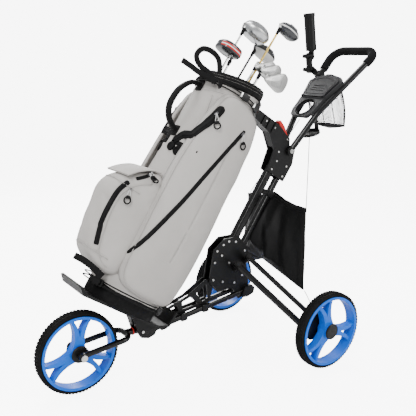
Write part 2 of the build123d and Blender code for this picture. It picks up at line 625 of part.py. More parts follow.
def on_line(low, high, u):
    """The point at height u of the line from low (u = 60) to high (u = 860)."""
    share = (u - 60) / 800
    return Vector(low[0] + (high[0] - low[0]) * share, low[1] + (high[1] - low[1]) * share, u)


def shaft(low, high, top_u, radius=5.0):
    """A club's shaft and grip, in the bag's own frame."""
    foot, grip_top, top = (on_line(low, high, u) for u in (GRIP_FOOT_U, GRIP_FOOT_U + GRIP_LEN, top_u))
    return rod(foot, grip_top, 11.5) + rod(foot, top, radius)


def wood_head(at, length, depth, height):
    """A rounded wood head that reaches back from its hosel."""
    ball = Sphere(1.0)
    body = scale(ball, by=(depth / 2, length / 2, height / 2))
    return Pos(at.X, at.Y + length * 0.42, at.Z + height * 0.30) * body


def iron_head(at, length, tall, thick):
    """A flat iron head that reaches back from its hosel."""
    outline = Polygon((-8, -8), (8, -14), (length * 0.72, -18), (length, 8), (length * 0.94, tall * 0.72),
                      (length * 0.62, tall * 0.80), (6, 12), align=None)
    blade = extrude(Plane.YZ.offset(-thick / 2) * fillet(outline.vertices(), 5), amount=thick,
                    dir=(1, 0, 0))
    return Pos(*at) * blade


def offset_iron_head(at, length, tall, thick):
    """An iron head set back from its shaft on a short neck."""
    back = 34
    neck = rod(at, at + Vector(0, back + 4, 6), 5)
    return neck + iron_head(at + Vector(0, back, 4), length, tall, thick)


def make_clubs():
    """Seven clubs, heads up, each with its grip at the bottom of the bag."""
    lines = {
        "driver": ((-28, -72), (-25, -55), 1075, wood_head, (118, 96, 62)),
        "fairway_wood": ((-66, 10), (-66, 50), 1060, wood_head, (106, 72, 50)),
        "hybrid": ((0, 20), (-5, 60), 1165, wood_head, (100, 66, 46)),
        "long_iron": ((57.5, -1), (59, 40), 968, iron_head, (78, 62, 16)),
        "short_iron": ((37, -28), (37, 23), 972, iron_head, (82, 64, 16)),
        "wedge": ((76, 24), (80, 30), 938, offset_iron_head, (90, 72, 16)),
        "putter": ((28, -62), (30, -72), 925, None, None),
    }
    for name, (low, high, top_u, head, size) in lines.items():
        at = on_line(low, high, top_u)
        if head:
            club = shaft(low, high, top_u) + head(at, *size)
        else:
            mallet = Pos(at.X + 4, at.Y - 30, at.Z + 26) * Box(84, 90, 30)
            club = shaft(low, high, top_u + 12) + fillet(mallet.edges().filter_by(Axis.Z), 26)
        save(name, BAG * club)


def main():
    """Makes every node and prints the numbers that the record needs."""
    make_front_wheel()
    make_rear_wheels()
    make_legs()
    make_fork()
    rails = make_rail()
    make_front_bracket(rails)
    make_mast()
    make_central_bracket(rails)
    make_rivets()
    pins = [make_upper_bracket()]
    make_cradles()
    make_handle()
    make_console()
    pins.append(make_latch())
    pins.append(pin_x(-32, 32, FORK_PIVOT.Y, FORK_PIVOT.Z, 5))
    save("hinge_pins", *pins)
    make_umbrella_holder()
    make_pouch()
    outer = bag_outer()
    make_bag(outer)
    make_straps()
    make_clubs()
    print("leg axis", tuple(LEG_AXIS))


main()
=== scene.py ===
"""Golf bag on a three-wheel push cart.

The cart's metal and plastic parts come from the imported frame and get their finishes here.
Everything sewn, padded, moulded with a tread, or forged is made here and rides on the
frame's bodies.  Metres, +Z up, the front wheel towards -Y, the handle towards +Y.
"""
import math
import random

import bmesh
import bpy
from mathutils import Matrix, Vector, noise
from mathutils.bvhtree import BVHTree


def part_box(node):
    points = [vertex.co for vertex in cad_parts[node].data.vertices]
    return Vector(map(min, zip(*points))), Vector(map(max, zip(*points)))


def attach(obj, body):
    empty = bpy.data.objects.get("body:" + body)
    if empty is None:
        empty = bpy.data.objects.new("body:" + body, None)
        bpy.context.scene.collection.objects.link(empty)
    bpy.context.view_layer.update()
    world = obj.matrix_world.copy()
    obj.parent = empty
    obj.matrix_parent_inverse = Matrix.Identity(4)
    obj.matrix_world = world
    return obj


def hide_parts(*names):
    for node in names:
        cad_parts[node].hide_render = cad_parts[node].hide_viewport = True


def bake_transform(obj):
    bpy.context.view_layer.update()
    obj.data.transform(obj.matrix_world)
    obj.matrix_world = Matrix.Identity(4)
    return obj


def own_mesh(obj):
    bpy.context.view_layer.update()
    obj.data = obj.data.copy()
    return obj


bl_info = {
    "name": "Golf Bag on Push Cart",
    "version": (1, 0, 0),
    "blender": (4, 5, 0),
    "location": "View3D > Sidebar > Golf Cart",
    "description": "Makes a golf bag with its clubs on a three-wheel push cart",
    "category": "Add Mesh",
}

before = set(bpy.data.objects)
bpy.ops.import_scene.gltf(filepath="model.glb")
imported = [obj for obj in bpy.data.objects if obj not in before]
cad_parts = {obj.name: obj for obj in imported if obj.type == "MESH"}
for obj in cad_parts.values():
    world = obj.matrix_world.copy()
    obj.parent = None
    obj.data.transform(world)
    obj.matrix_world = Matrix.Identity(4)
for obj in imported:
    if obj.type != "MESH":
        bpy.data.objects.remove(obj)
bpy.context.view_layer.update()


def middle(node):
    """The middle of a frame node's box."""
    low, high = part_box(node)
    return (low + high) / 2


AXLE = middle("tyre_right")
FRONT_AXLE = middle("front_tyre")
FOOT = Vector((0.0, AXLE.y - 0.700, 0.295))
BACK = Vector((0.0, 0.8387, -0.545))
UP = Vector((0.0, 0.545, 0.8387))
SIDE = Vector((1.0, 0.0, 0.0))
COLLAR_RISE = math.tan(math.radians(11.0))


def bag(x, w, u):
    """A point of the bag's own frame: x to the right, w behind its axis, u up along it."""
    return FOOT + SIDE * x + BACK * w + UP * u


def rear(x, y, z):
    """A point given from the rear axle's line."""
    return Vector((x, AXLE.y + y, z))


# Meshes -----------------------------------------------------------------------------------
class Maker:
    """Collects the faces of one piece, each with the number of its material."""

    def __init__(self):
        self.verts, self.faces, self.marks = [], [], []

    def add(self, verts, faces, mark=0):
        first = len(self.verts)
        self.verts += [Vector(v) for v in verts]
        self.faces += [[i + first for i in face] for face in faces]
        self.marks += [mark] * len(faces)

    def object(self, name, materials, smooth=True, merge=0.0, sharp=None):
        mesh = bpy.data.meshes.new(name)
        mesh.from_pydata([tuple(v) for v in self.verts], [], self.faces)
        for material in materials:
            mesh.materials.append(material)
        for polygon, mark in zip(mesh.polygons, self.marks):
            polygon.material_index = mark
        work = bmesh.new()
        work.from_mesh(mesh)
        if merge:
            bmesh.ops.remove_doubles(work, verts=work.verts, dist=merge)
        bmesh.ops.recalc_face_normals(work, faces=work.faces)
        work.to_mesh(mesh)
        work.free()
        if smooth:
            mesh.shade_smooth()
            if sharp:
                mesh.set_sharp_from_angle(angle=math.radians(sharp))
        piece = bpy.data.objects.new(name, mesh)
        bpy.context.scene.collection.objects.link(piece)
        return piece

    def rings(self, rings, closed=False, caps=True, mark=0):
        """Faces between rings of equal length; closed joins the last ring to the first."""
        n = len(rings[0])
        verts = [v for ring in rings for v in ring]
        faces = []
        count = len(rings)
        for i in range(count if closed else count - 1):
            a, b = i * n, ((i + 1) % count) * n
            faces += [(a + j, a + (j + 1) % n, b + (j + 1) % n, b + j) for j in range(n)]
        if caps and not closed:
            for start, flip in ((0, True), ((count - 1) * n, False)):
                centre = sum((Vector(v) for v in verts[start:start + n]), Vector()) / n
                verts.append(centre)
                hub = len(verts) - 1
                for j in range(n):
                    a, b = start + j, start + (j + 1) % n
                    faces.append((b, a, hub) if flip else (a, b, hub))
        self.add(verts, faces, mark)

    def sweep(self, points, section, closed=False, caps=True, mark=0, facing=None):
        """A section, a function of the path's share, carried along points.

        The section gives (across, out) pairs.  facing is the direction or directions that
        'out' keeps to; without it the section turns as little as it can."""
        points = [Vector(p) for p in points]
        tangents = path_tangents(points, closed)
        outs = path_outs(tangents, facing)
        rings = []
        for i, (p, t, out) in enumerate(zip(points, tangents, outs)):
            across = t.cross(out).normalized()
            share = i / max(1, len(points) - 1)
            rings.append([p + across * a + out * b for a, b in section(share)])
        self.rings(rings, closed, caps, mark)

    def tube(self, points, radius, sides=12, closed=False, mark=0, caps=True):
        size = radius if callable(radius) else (lambda share: radius)
        self.sweep(points, lambda s: circle(size(s), sides), closed, caps, mark)

    def strap(self, points, width, thick, facing, mark=0, closed=False):
        self.sweep(points, lambda s: slab(width, thick), closed, True, mark, facing)

    def lathe(self, profile, origin, axis, sides=32, mark=0):
        """A profile of (radius, along) turned about an axis, closed at both ends."""
        axis = Vector(axis).normalized()
        a = axis.orthogonal().normalized()
        b = axis.cross(a)
        origin = Vector(origin)
        rings = []
        for radius, along in profile:
            ring = []
            for k in range(sides):
                t = 2 * math.pi * k / sides
                ring.append(origin + axis * along + (a * math.cos(t) + b * math.sin(t)) * radius)
            rings.append(ring)
        self.rings(rings, mark=mark)

    def cushion(self, centre, axes, half, rounding, mark=0, cuts=3):
        """A box with rounded edges and corners."""
        inner = [max(h - rounding, 1e-5) for h in half]
        verts, faces = [], []
        for axis in range(3):
            for sign in (-1, 1):
                b, c = (axis + 1) % 3, (axis + 2) % 3
                first = len(verts)
                for i in range(cuts + 1):
                    for j in range(cuts + 1):
                        p = [0.0] * 3
                        p[axis] = sign
                        p[b], p[c] = 2 * i / cuts - 1, 2 * j / cuts - 1
                        d = Vector(p).normalized() * rounding
                        core = [inner[k] * p[k] for k in range(3)]
                        q = [core[k] + d[k] for k in range(3)]
                        verts.append(Vector(centre) + axes[0] * q[0] + axes[1] * q[1] + axes[2] * q[2])
                for i in range(cuts):
                    for j in range(cuts):
                        at = first + i * (cuts + 1) + j
                        quad = (at, at + cuts + 1, at + cuts + 2, at + 1)
                        faces.append(quad if sign > 0 else quad[::-1])
        self.add(verts, faces, mark)


def circle(radius, sides):
    return [(radius * math.cos(2 * math.pi * k / sides), radius * math.sin(2 * math.pi * k / sides))
            for k in range(sides)]


def oval(a, b, sides=16, power=2.0):
    """A superellipse of half sizes a and b."""
    out = []
    for k in range(sides):
        t = 2 * math.pi * k / sides
        c, s = math.cos(t), math.sin(t)
        out.append((a * math.copysign(abs(c) ** (2 / power), c),
                    b * math.copysign(abs(s) ** (2 / power), s)))
    return out


def slab(width, thick):
    """A flat section with rounded edges."""
    a, b = width / 2, thick / 2
    e = min(a, b) * 0.6
    return [(a, -b + e), (a, b - e), (a - e, b), (0, b), (-a + e, b), (-a, b - e), (-a, -b + e),
            (-a + e, -b),
            (0, -b), (a - e, -b)]


def path_tangents(points, closed):
    n = len(points)
    tangents = []
    for i in range(n):
        a = points[(i - 1) % n] if closed or i > 0 else points[i]
        b = points[(i + 1) % n] if closed or i < n - 1 else points[i]
        tangents.append((b - a).normalized())
    return tangents


def path_outs(tangents, facing):
    outs = []
    out = tangents[0].orthogonal().normalized()
    for i, t in enumerate(tangents):
        if facing is not None:
            wish = Vector(facing[i]) if isinstance(facing, list) else Vector(facing)
            out = wish - t * wish.dot(t)
        else:
            out = out - t * out.dot(t)
        if out.length < 1e-9:
            out = t.orthogonal()
        out = out.normalized()
        outs.append(out)
    return outs


def smooth(points, per=8, closed=False):
    """Points along a soft curve through the given ones."""
    points = [Vector(p) for p in points]
    n = len(points)
    out = []
    for i in range(n if closed else n - 1):
        p0 = points[(i - 1) % n] if closed or i > 0 else points[i]
        p1, p2 = points[i], points[(i + 1) % n]
        p3 = points[(i + 2) % n] if closed or i + 2 < n else p2
        for k in range(per):
            t = k / per
            out.append(0.5 * ((2 * p1) + (p2 - p0) * t + (2 * p0 - 5 * p1 + 4 * p2 - p3) * t * t
                              + (3 * p1 - p0 - 3 * p2 + p3) * t ** 3))
    if not closed:
        out.append(points[-1])
    return out


def evenly(points, pitch, closed=False):
    """Points a pitch apart along a line of points."""
    line = list(points) + ([points[0]] if closed else [])
    total = sum((b - a).length for a, b in zip(line, line[1:]))
    count = max(1, round(total / pitch))
    step = total / count
    out, left = [line[0].copy()], step
    for a, b in zip(line, line[1:]):
        run = (b - a).length
        at = left
        while at <= run + 1e-9 and run > 0:
            out.append(a.lerp(b, at / run))
            at += step
        left = at - run
    return out[:count] if closed else out[:count + 1]


def crease_noise(point, size, seed=0.0):
    return noise.noise(Vector(point) / size + Vector((seed, seed * 1.7, -seed)))


# Repeats along a path ---------------------------------------------------------------------
def repeat_tree(name, shape):
    """A node tree that sets a small solid on every mark, and makes it real."""
    tree = bpy.data.node_groups.new(name, "GeometryNodeTree")
    tree.interface.new_socket("Marks", in_out="INPUT", socket_type="NodeSocketGeometry")
    size = tree.interface.new_socket("Size", in_out="INPUT", socket_type="NodeSocketVector")
    finish = tree.interface.new_socket("Finish", in_out="INPUT", socket_type="NodeSocketMaterial")
    tree.interface.new_socket("Geometry", in_out="OUTPUT", socket_type="NodeSocketGeometry")
    nodes, links = tree.nodes, tree.links
    start, end = nodes.new("NodeGroupInput"), nodes.new("NodeGroupOutput")
    if shape == "bead":
        solid = nodes.new("GeometryNodeMeshUVSphere")
        solid.inputs["Segments"].default_value = 6
        solid.inputs["Rings"].default_value = 4
        solid.inputs["Radius"].default_value = 0.5
    elif shape == "dome":
        solid = nodes.new("GeometryNodeMeshUVSphere")
        solid.inputs["Segments"].default_value = 16
        solid.inputs["Rings"].default_value = 8
        solid.inputs["Radius"].default_value = 0.5
    else:
        solid = nodes.new("GeometryNodeMeshCube")
        solid.inputs["Size"].default_value = (1.0, 1.0, 1.0)
    turn = nodes.new("FunctionNodeAxesToRotation")
    turn.primary_axis, turn.secondary_axis = "Z", "X"
    for label, socket in (("out", "Primary Axis"), ("along", "Secondary Axis")):
        read = nodes.new("GeometryNodeInputNamedAttribute")
        read.data_type = "FLOAT_VECTOR"
        read.inputs["Name"].default_value = label
        links.new(read.outputs["Attribute"], turn.inputs[socket])
    place = nodes.new("GeometryNodeInstanceOnPoints")
    real, paint = nodes.new("GeometryNodeRealizeInstances"), nodes.new("GeometryNodeSetMaterial")
    links.new(start.outputs["Marks"], place.inputs["Points"])
    links.new(solid.outputs["Mesh"], place.inputs["Instance"])
    links.new(turn.outputs["Rotation"], place.inputs["Rotation"])
    links.new(start.outputs["Size"], place.inputs["Scale"])
    links.new(place.outputs["Instances"], real.inputs["Geometry"])
    links.new(real.outputs["Geometry"], paint.inputs["Geometry"])
    links.new(start.outputs["Finish"], paint.inputs["Material"])
    links.new(paint.outputs["Geometry"], end.inputs["Geometry"])
    return {"tree": tree, "size": size.identifier, "finish": finish.identifier}


TREES = {}


def repeated(name, shape, marks, size, material, shade=True):
    """One piece of small solids: marks are (place, along, out)."""
    if shape not in TREES:
        TREES[shape] = repeat_tree("Repeat " + shape, shape)
    kit = TREES[shape]
    mesh = bpy.data.meshes.new(name)
    mesh.from_pydata([tuple(m[0]) for m in marks], [], [])
    for label, column in (("along", 1), ("out", 2)):
        data = mesh.attributes.new(label, "FLOAT_VECTOR", "POINT")
        data.data.foreach_set("vector", [c for m in marks for c in m[column]])
    piece = bpy.data.objects.new(name, mesh)
    bpy.context.scene.collection.objects.link(piece)
    modifier = piece.modifiers.new("Repeat", "NODES")
    modifier.node_group = kit["tree"]
    modifier[kit["size"]] = size
    modifier[kit["finish"]] = material
    return baked(piece, shade)


def baked(piece, shade=True):
    """The piece with its modifiers worked into its mesh."""
    view = bpy.context.evaluated_depsgraph_get()
    mesh = bpy.data.meshes.new_from_object(piece.evaluated_get(view))
    piece.modifiers.clear()
    piece.data = mesh
    if shade:
        mesh.shade_smooth()
    return piece


def marks_along(points, outs, pitch, closed=False, lift=0.0, aside=0.0):
    """Marks a pitch apart on a path with surface directions, moved aside and lifted."""
    tangents = path_tangents(points, closed)
    lines = [(p + t.cross(o).normalized() * aside + o * lift) for p, t, o in zip(points, tangents, outs)]
    total = sum((b - a).length for a, b in zip(lines, lines[1:]))
    count = max(1, int(total / pitch))
    marks, travelled, k = [], 0.0, 0
    for i in range(len(lines) - 1):
        run = (lines[i + 1] - lines[i]).length
        while run > 0 and k * pitch <= travelled + run and k <= count:
            share = (k * pitch - travelled) / run
            marks.append((lines[i].lerp(lines[i + 1], share), tangents[i],
                          outs[i].lerp(outs[i + 1], share).normalized()))
            k += 1
        travelled += run
    return marks


def joined(name, pieces):
    """Several objects of one body made into one."""
    with bpy.context.temp_override(active_object=pieces[0], object=pieces[0], selected_objects=pieces,
                                   selected_editable_objects=pieces):
        bpy.ops.object.join()
    pieces[0].name = name
    return pieces[0]


def puff(piece, held, pressure=4.0, cap=0.010, frames=20, shrink=0.0):
    """Fills a closed cloth with air: vertices with held(index, co) > 0 stay where they are."""
    rest = [v.co.copy() for v in piece.data.vertices]
    group = piece.vertex_groups.new(name="held")
    for i, co in enumerate(rest):
        weight = held(i, co)
        if weight > 0:
            group.add([i], weight, "REPLACE")
    modifier = piece.modifiers.new("Cloth", "CLOTH")
    cloth = modifier.settings
    cloth.quality = 4
    cloth.mass = 0.3
    cloth.tension_stiffness = cloth.compression_stiffness = 20
    cloth.shear_stiffness = 8
    cloth.bending_stiffness = 1.0
    cloth.shrink_min = shrink
    cloth.vertex_group_mass = "held"
    cloth.use_pressure = True
    cloth.uniform_pressure_force = pressure
    cloth.effector_weights.gravity = 0.0
    modifier.collision_settings.use_collision = False
    scene = bpy.context.scene
    for number in range(1, frames + 1):
        scene.frame_set(number)
    view = bpy.context.evaluated_depsgraph_get()
    moved = [v.co.copy() for v in piece.evaluated_get(view).data.vertices]
    piece.modifiers.clear()
    piece.vertex_groups.clear()
    scene.frame_set(1)
    for vertex, a, b in zip(piece.data.vertices, rest, moved):
        step = b - a
        if step.length > cap:
            step = step.normalized() * cap
        vertex.co = a + step
    piece.data.update()
    return piece


def surface_of(*pieces):
    """A tree of the pieces' faces for laying trims on them."""
    verts, faces = [], []
    for piece in pieces:
        first = len(verts)
        verts += [v.co.copy() for v in piece.data.vertices]
        faces += [[i + first for i in p.vertices] for p in piece.data.polygons]
    return BVHTree.FromPolygons(verts, faces)


def laid(tree, points, direction, lift=0.0):
    """Points dropped onto a surface along a direction, with the surface's own directions."""
    direction = Vector(direction).normalized()
    at, outs = [], []
    for p in points:
        hit, normal, _, _ = tree.ray_cast(Vector(p) - direction * 0.25, direction)
        if hit is None:
            hit, normal, _, _ = tree.find_nearest(Vector(p))
        if normal.dot(direction) > 0:
            normal = -normal
        at.append(hit)
        outs.append(normal)
    softened = []
    for i in range(len(at)):
        near = outs[max(0, i - 2):i + 3]
        softened.append(sum(near, Vector()).normalized())
    return [p + n * lift for p, n in zip(at, softened)], softened


def settle(piece, body, stands_for=()):
    """Puts a finished piece on its body."""
    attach(piece, body)
    if stands_for:
        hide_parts(*stands_for)
    return piece


# Materials --------------------------------------------------------------------------------
FINISHES = {}


class Recipe:
    """A node material in the making, with short words for the nodes."""

    def __init__(self, name, roughness=0.5, metallic=0.0, coat=0.0, sheen=0.0, specular=0.5):
        self.material = bpy.data.materials.new(name)
        self.material.use_nodes = True
        self.nodes, self.links = self.material.node_tree.nodes, self.material.node_tree.links
        self.shader = self.nodes["Principled BSDF"]
        self.shader.inputs["Roughness"].default_value = roughness
        self.shader.inputs["Metallic"].default_value = metallic
        self.shader.inputs["Coat Weight"].default_value = coat
        self.shader.inputs["Coat Roughness"].default_value = 0.15
        self.shader.inputs["Sheen Weight"].default_value = sheen
        self.shader.inputs["Sheen Roughness"].default_value = 0.4
        self.shader.inputs["Specular IOR Level"].default_value = specular
        place = self.nodes.new("ShaderNodeTexCoord")
        self.place, self.normal = place.outputs["Object"], place.outputs["Normal"]
        FINISHES[name] = self.material

    def noise(self, scale, detail=3.0, roughness=0.5, at=None):
        node = self.nodes.new("ShaderNodeTexNoise")
        node.inputs["Scale"].default_value = scale
        node.inputs["Detail"].default_value = detail
        node.inputs["Roughness"].default_value = roughness
        self.links.new(at or self.place, node.inputs["Vector"])
        return node.outputs["Fac"]

    def math(self, kind, a, b=None):
        node = self.nodes.new("ShaderNodeMath")
        node.operation = kind
        for socket, value in zip(node.inputs, (a, b)):
            if value is None:
                continue
            if isinstance(value, (int, float)):
                socket.default_value = value
            else:
                self.links.new(value, socket)
        return node.outputs["Value"]

    def ramp(self, factor, low, high, start=0.0, stop=1.0):
        node = self.nodes.new("ShaderNodeValToRGB")
        node.color_ramp.elements[0].position, node.color_ramp.elements[1].position = start, stop
        node.color_ramp.elements[0].color = (*low, 1.0)
        node.color_ramp.elements[1].color = (*high, 1.0)
        self.links.new(factor, node.inputs["Fac"])
        return node.outputs["Color"]

    def turned(self, angle=(0.0, 0.0, 0.0), scale=(1.0, 1.0, 1.0), at=None):
        node = self.nodes.new("ShaderNodeMapping")
        node.inputs["Rotation"].default_value = angle
        node.inputs["Scale"].default_value = scale
        self.links.new(at or self.place, node.inputs["Vector"])
        return node.outputs["Vector"]

    def apart(self, vector):
        node = self.nodes.new("ShaderNodeSeparateXYZ")
        self.links.new(vector, node.inputs["Vector"])
        return [node.outputs[k] for k in ("X", "Y", "Z")]

    def weave(self, pitch, angle=(0.0, 0.0, 0.0)):
        """Crossing threads on every side: 0 in the gaps, 1 on the threads."""
        where = self.apart(self.turned(angle))
        facing = self.apart(self.turned(angle, at=self.normal))
        total = None
        for coordinate, part in zip(where, facing):
            wave = self.math("SINE", self.math("MULTIPLY", coordinate, 2 * math.pi / pitch))
            weight = self.math("SUBTRACT", 1.0, self.math("MULTIPLY", part, part))
            term = self.math("MULTIPLY", wave, weight)
            total = term if total is None else self.math("ADD", total, term)
        return self.math("ADD", self.math("MULTIPLY", total, 0.25), 0.5)

    def colour(self, output):
        self.links.new(output, self.shader.inputs["Base Color"])

    def rough(self, factor, low, high):
        node = self.nodes.new("ShaderNodeMapRange")
        node.inputs["To Min"].default_value, node.inputs["To Max"].default_value = low, high
        self.links.new(factor, node.inputs["Value"])
        self.links.new(node.outputs["Result"], self.shader.inputs["Roughness"])

    def bump(self, height, strength, distance=0.0005):
        node = self.nodes.new("ShaderNodeBump")
        node.inputs["Strength"].default_value = strength
        node.inputs["Distance"].default_value = distance
        self.links.new(height, node.inputs["Height"])
        before = self.shader.inputs["Normal"]
        if before.is_linked:
            self.links.new(before.links[0].from_socket, node.inputs["Normal"])
        self.links.new(node.outputs["Normal"], before)


def shade(colour, factor):
    return tuple(min(1.0, c * factor) for c in colour)


def moulded(name, colour, roughness=0.45, grain=900.0, depth=0.25, coat=0.0, spread=0.25, specular=0.25):
    """Moulded or painted parts: slight mottling, a fine grain, and handling marks in the gloss."""
    r = Recipe(name, roughness, coat=coat, specular=specular)
    r.colour(r.ramp(r.noise(14.0, 4.0), shade(colour, 1 - spread), shade(colour, 1 + spread), 0.3, 0.7))
    r.rough(r.noise(38.0, 5.0, 0.6), roughness * 0.8, min(1.0, roughness * 1.25))
    r.bump(r.noise(grain, 2.0), depth, 0.0002)
    return r.material


def metal(name, colour, roughness=0.3, stretch=(1.0, 1.0, 14.0), spread=0.12):
    """Brushed or plated metal: fine streaks along one way."""
    r = Recipe(name, roughness, metallic=1.0)
    streaks = r.noise(160.0, 4.0, 0.6, r.turned((0.576, 0.0, 0.0), stretch))
    r.colour(r.ramp(r.noise(30.0, 3.0), shade(colour, 1 - spread), shade(colour, 1 + spread), 0.3, 0.7))
    r.rough(streaks, roughness * 0.75, min(1.0, roughness * 1.4))
    r.bump(streaks, 0.12, 0.0001)
    return r.material


def woven(name, colour, pitch, roughness=0.8, sheen=0.25, depth=0.5, spread=0.06, angle=(0.576, 0.0, 0.0)):
    """Cloth: crossing threads, faint blotches, and soft small creases."""
    r = Recipe(name, roughness, sheen=sheen, specular=0.15)
    threads = r.weave(pitch, angle)
    blotches = r.noise(9.0, 5.0, 0.6)
    tone = r.math("ADD", r.math("MULTIPLY", threads, 0.35), r.math("MULTIPLY", blotches, 0.65))
    r.colour(r.ramp(tone, shade(colour, 1 - spread * 2), shade(colour, 1 + spread), 0.3, 0.7))
    r.bump(r.noise(60.0, 4.0, 0.55), 0.25, 0.0012)
    r.bump(threads, depth, 0.0003)
    return r.material


def rubbery(name, colour, roughness=0.85, grain=700.0):
    r = Recipe(name, roughness, specular=0.15)
    r.colour(r.ramp(r.noise(26.0, 5.0), shade(colour, 0.7), shade(colour, 1.5), 0.3, 0.75))
    r.rough(r.noise(60.0, 3.0), roughness * 0.85, 1.0)
    r.bump(r.noise(grain, 2.0), 0.4, 0.0003)
    return r.material


def make_finishes():
    look = bpy.context.scene.golf_cart_colours
    moulded("Frame paint", (0.003, 0.003, 0.0032), 0.26, 1400.0, 0.15, coat=0.10)
    moulded("Bracket plastic", (0.003, 0.003, 0.0032), 0.40, 1000.0, 0.35)
    moulded("Console plastic", (0.008, 0.008, 0.009), 0.48, 1200.0, 0.45)
    moulded("Console lid plastic", (0.012, 0.012, 0.013), 0.45, 1200.0, 0.45)
    moulded("Wheel plastic", tuple(look.wheels), 0.38, 600.0, 0.12, coat=0.05, spread=0.05)
    moulded("Red plastic", (0.55, 0.012, 0.010), 0.35, 900.0, 0.15, coat=0.3, spread=0.08)
    rubbery("Tyre rubber", (0.005, 0.005, 0.0052))
    rubbery("Grip foam", (0.004, 0.004, 0.0042), 0.92, 1600.0)
    rubbery("Trim rubber", (0.003, 0.003, 0.0032), 0.6)
    metal("Zinc plate", (0.66, 0.66, 0.64), 0.28)
    woven("Bag cloth", tuple(look.cloth), 0.0011, 0.82, 0.22)
    woven("Black cloth", (0.003, 0.003, 0.0032), 0.0012, 0.75, 0.04, spread=0.2)
    woven("Webbing", (0.003, 0.003, 0.0032), 0.0022, 0.7, 0.04, 0.9, 0.2)
    woven("Pouch cloth", (0.0025, 0.0025, 0.0027), 0.0010, 0.50, 0.04, 0.3, 0.2, (0.0, 0.0, 0.0))
    woven("Net cord", (0.030, 0.030, 0.032), 0.0009, 0.7, 0.2, 0.3, 0.1)
    woven("Elastic cord", (0.003, 0.003, 0.0032), 0.0012, 0.7, 0.04, 0.8, 0.2, (0.0, 0.5, 0.0))
    woven("Grey thread", shade(tuple(look.cloth), 0.72), 0.0006, 0.7, 0.2)
    woven("Grey piping", shade(tuple(look.cloth), 0.80), 0.0008, 0.75, 0.2)
    rubbery("Zip teeth", (0.004, 0.004, 0.0042), 0.45, 500.0)
    metal("Dark metal", (0.10, 0.10, 0.105), 0.35)
    metal("Bright steel", (0.72, 0.72, 0.71), 0.16, (1.0, 1.0, 20.0))
    metal("Satin nickel", (0.50, 0.50, 0.49), 0.34)
    metal("Head silver", (0.58, 0.59, 0.60), 0.24)
    metal("Gold shaft", (0.62, 0.44, 0.12), 0.3)
    moulded("Head paint", (0.62, 0.62, 0.61), 0.22, 1500.0, 0.05, coat=0.6, spread=0.04)
    moulded("Dark head paint", (0.030, 0.032, 0.036), 0.2, 1500.0, 0.05, coat=0.6)
    moulded("Black shaft", (0.016, 0.016, 0.017), 0.25, 1500.0, 0.08, coat=0.3)
    moulded("White paint", (0.78, 0.78, 0.77), 0.35, 1500.0, 0.05, spread=0.03)
    moulded("Cord white", (0.55, 0.55, 0.54), 0.7, 1500.0, 0.3, spread=0.05)


NODE_FINISHES = {
    "Frame paint": ("mast", "rear_tube", "lower_rail", "fork", "handle_tube", "upper_leg_right",
                    "upper_leg_left",
                    "lower_leg_right", "lower_leg_left"),
    "Bracket plastic": ("central_bracket", "rear_casting", "upper_bracket", "upper_cradle", "lower_cradle",
                        "cradle_struts", "clamps", "front_bracket", "front_hub_caps", "hub_cap_right",
                        "hub_cap_left", "wheel_carrier_right", "wheel_carrier_left", "umbrella_clamp",
                        "umbrella_link", "umbrella_tube", "lower_knob", "upper_knob"),
    "Console plastic": ("console", "cup_dish"),
    "Console lid plastic": ("console_lid",),
    "Zinc plate": ("rivets", "hinge_pins", "front_axle"),
    "Wheel plastic": ("front_rim", "rim_right", "rim_left"),
    "Red plastic": ("brake_pedal", "latch_lever"),
}


def paint_nodes():
    """Gives every frame node that stays in sight its own finish."""
    for finish, names in NODE_FINISHES.items():
        for name in names:
            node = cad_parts[name]
            if not node.material_slots:
                node.data.materials.append(FINISHES[finish])
            for place in node.material_slots:
                place.material = FINISHES[finish]


# Tyres ------------------------------------------------------------------------------------
def make_tyre(name, centre, body, node):
    """A tyre with a ribbed carcass and rows of tread blocks round it."""
    outer = centre.z - 0.0001
    profile = [(0.1285, -0.0172), (0.1340, -0.0188), (0.1390, -0.0183), (0.1425, -0.0160),
               (0.1437, -0.0125),
               (0.1437, -0.0075), (0.1425, -0.0068), (0.1425, -0.0052), (0.1440, -0.0045), (0.1440, 0.0)]
    profile = profile + [(r, -x) for r, x in profile[-2::-1]]
    maker = Maker()
    sides = 120
    rings = []
    for k in range(sides):
        t = 2 * math.pi * k / sides
        spoke = Vector((0.0, math.cos(t), math.sin(t)))
        rings.append([centre + spoke * r + SIDE * x for r, x in profile])
    maker.rings(rings, closed=True)
    carcass = maker.object(name + "_carcass", [FINISHES["Tyre rubber"]])
    marks = []
    count = 72
    for row, (x, lean, shift) in enumerate(((-0.0118, 0.35, 0.0), (0.0, 0.0, 0.5), (0.0118, -0.35, 0.0))):
        for k in range(count):
            t = 2 * math.pi * (k + shift) / count
            spoke = Vector((0.0, math.cos(t), math.sin(t)))
            round_ = Vector((0.0, -math.sin(t), math.cos(t)))
            drop = 0.0012 if row == 1 else 0.0021
            marks.append((centre + spoke * (outer - drop) + SIDE * x, round_ + SIDE * lean, spoke))
    blocks = repeated(name + "_blocks", "block", marks, (0.0082, 0.0078, 0.0022), FINISHES["Tyre rubber"],
                      False)
    side_marks = []
    for k in range(90):
        t = 2 * math.pi * k / 90
        spoke = Vector((0.0, math.cos(t), math.sin(t)))
        for side in (-1, 1):
            side_marks.append((centre + spoke * 0.1395 + SIDE * side * 0.0177, spoke,
                               (SIDE * side * 0.9 + spoke * 0.4).normalized()))
    ribs = repeated(name + "_ribs", "block", side_marks, (0.0052, 0.0030, 0.0016), FINISHES["Tyre rubber"],
                    False)
    piece = joined(name, [carcass, blocks, ribs])
    return settle(piece, body, (node,))


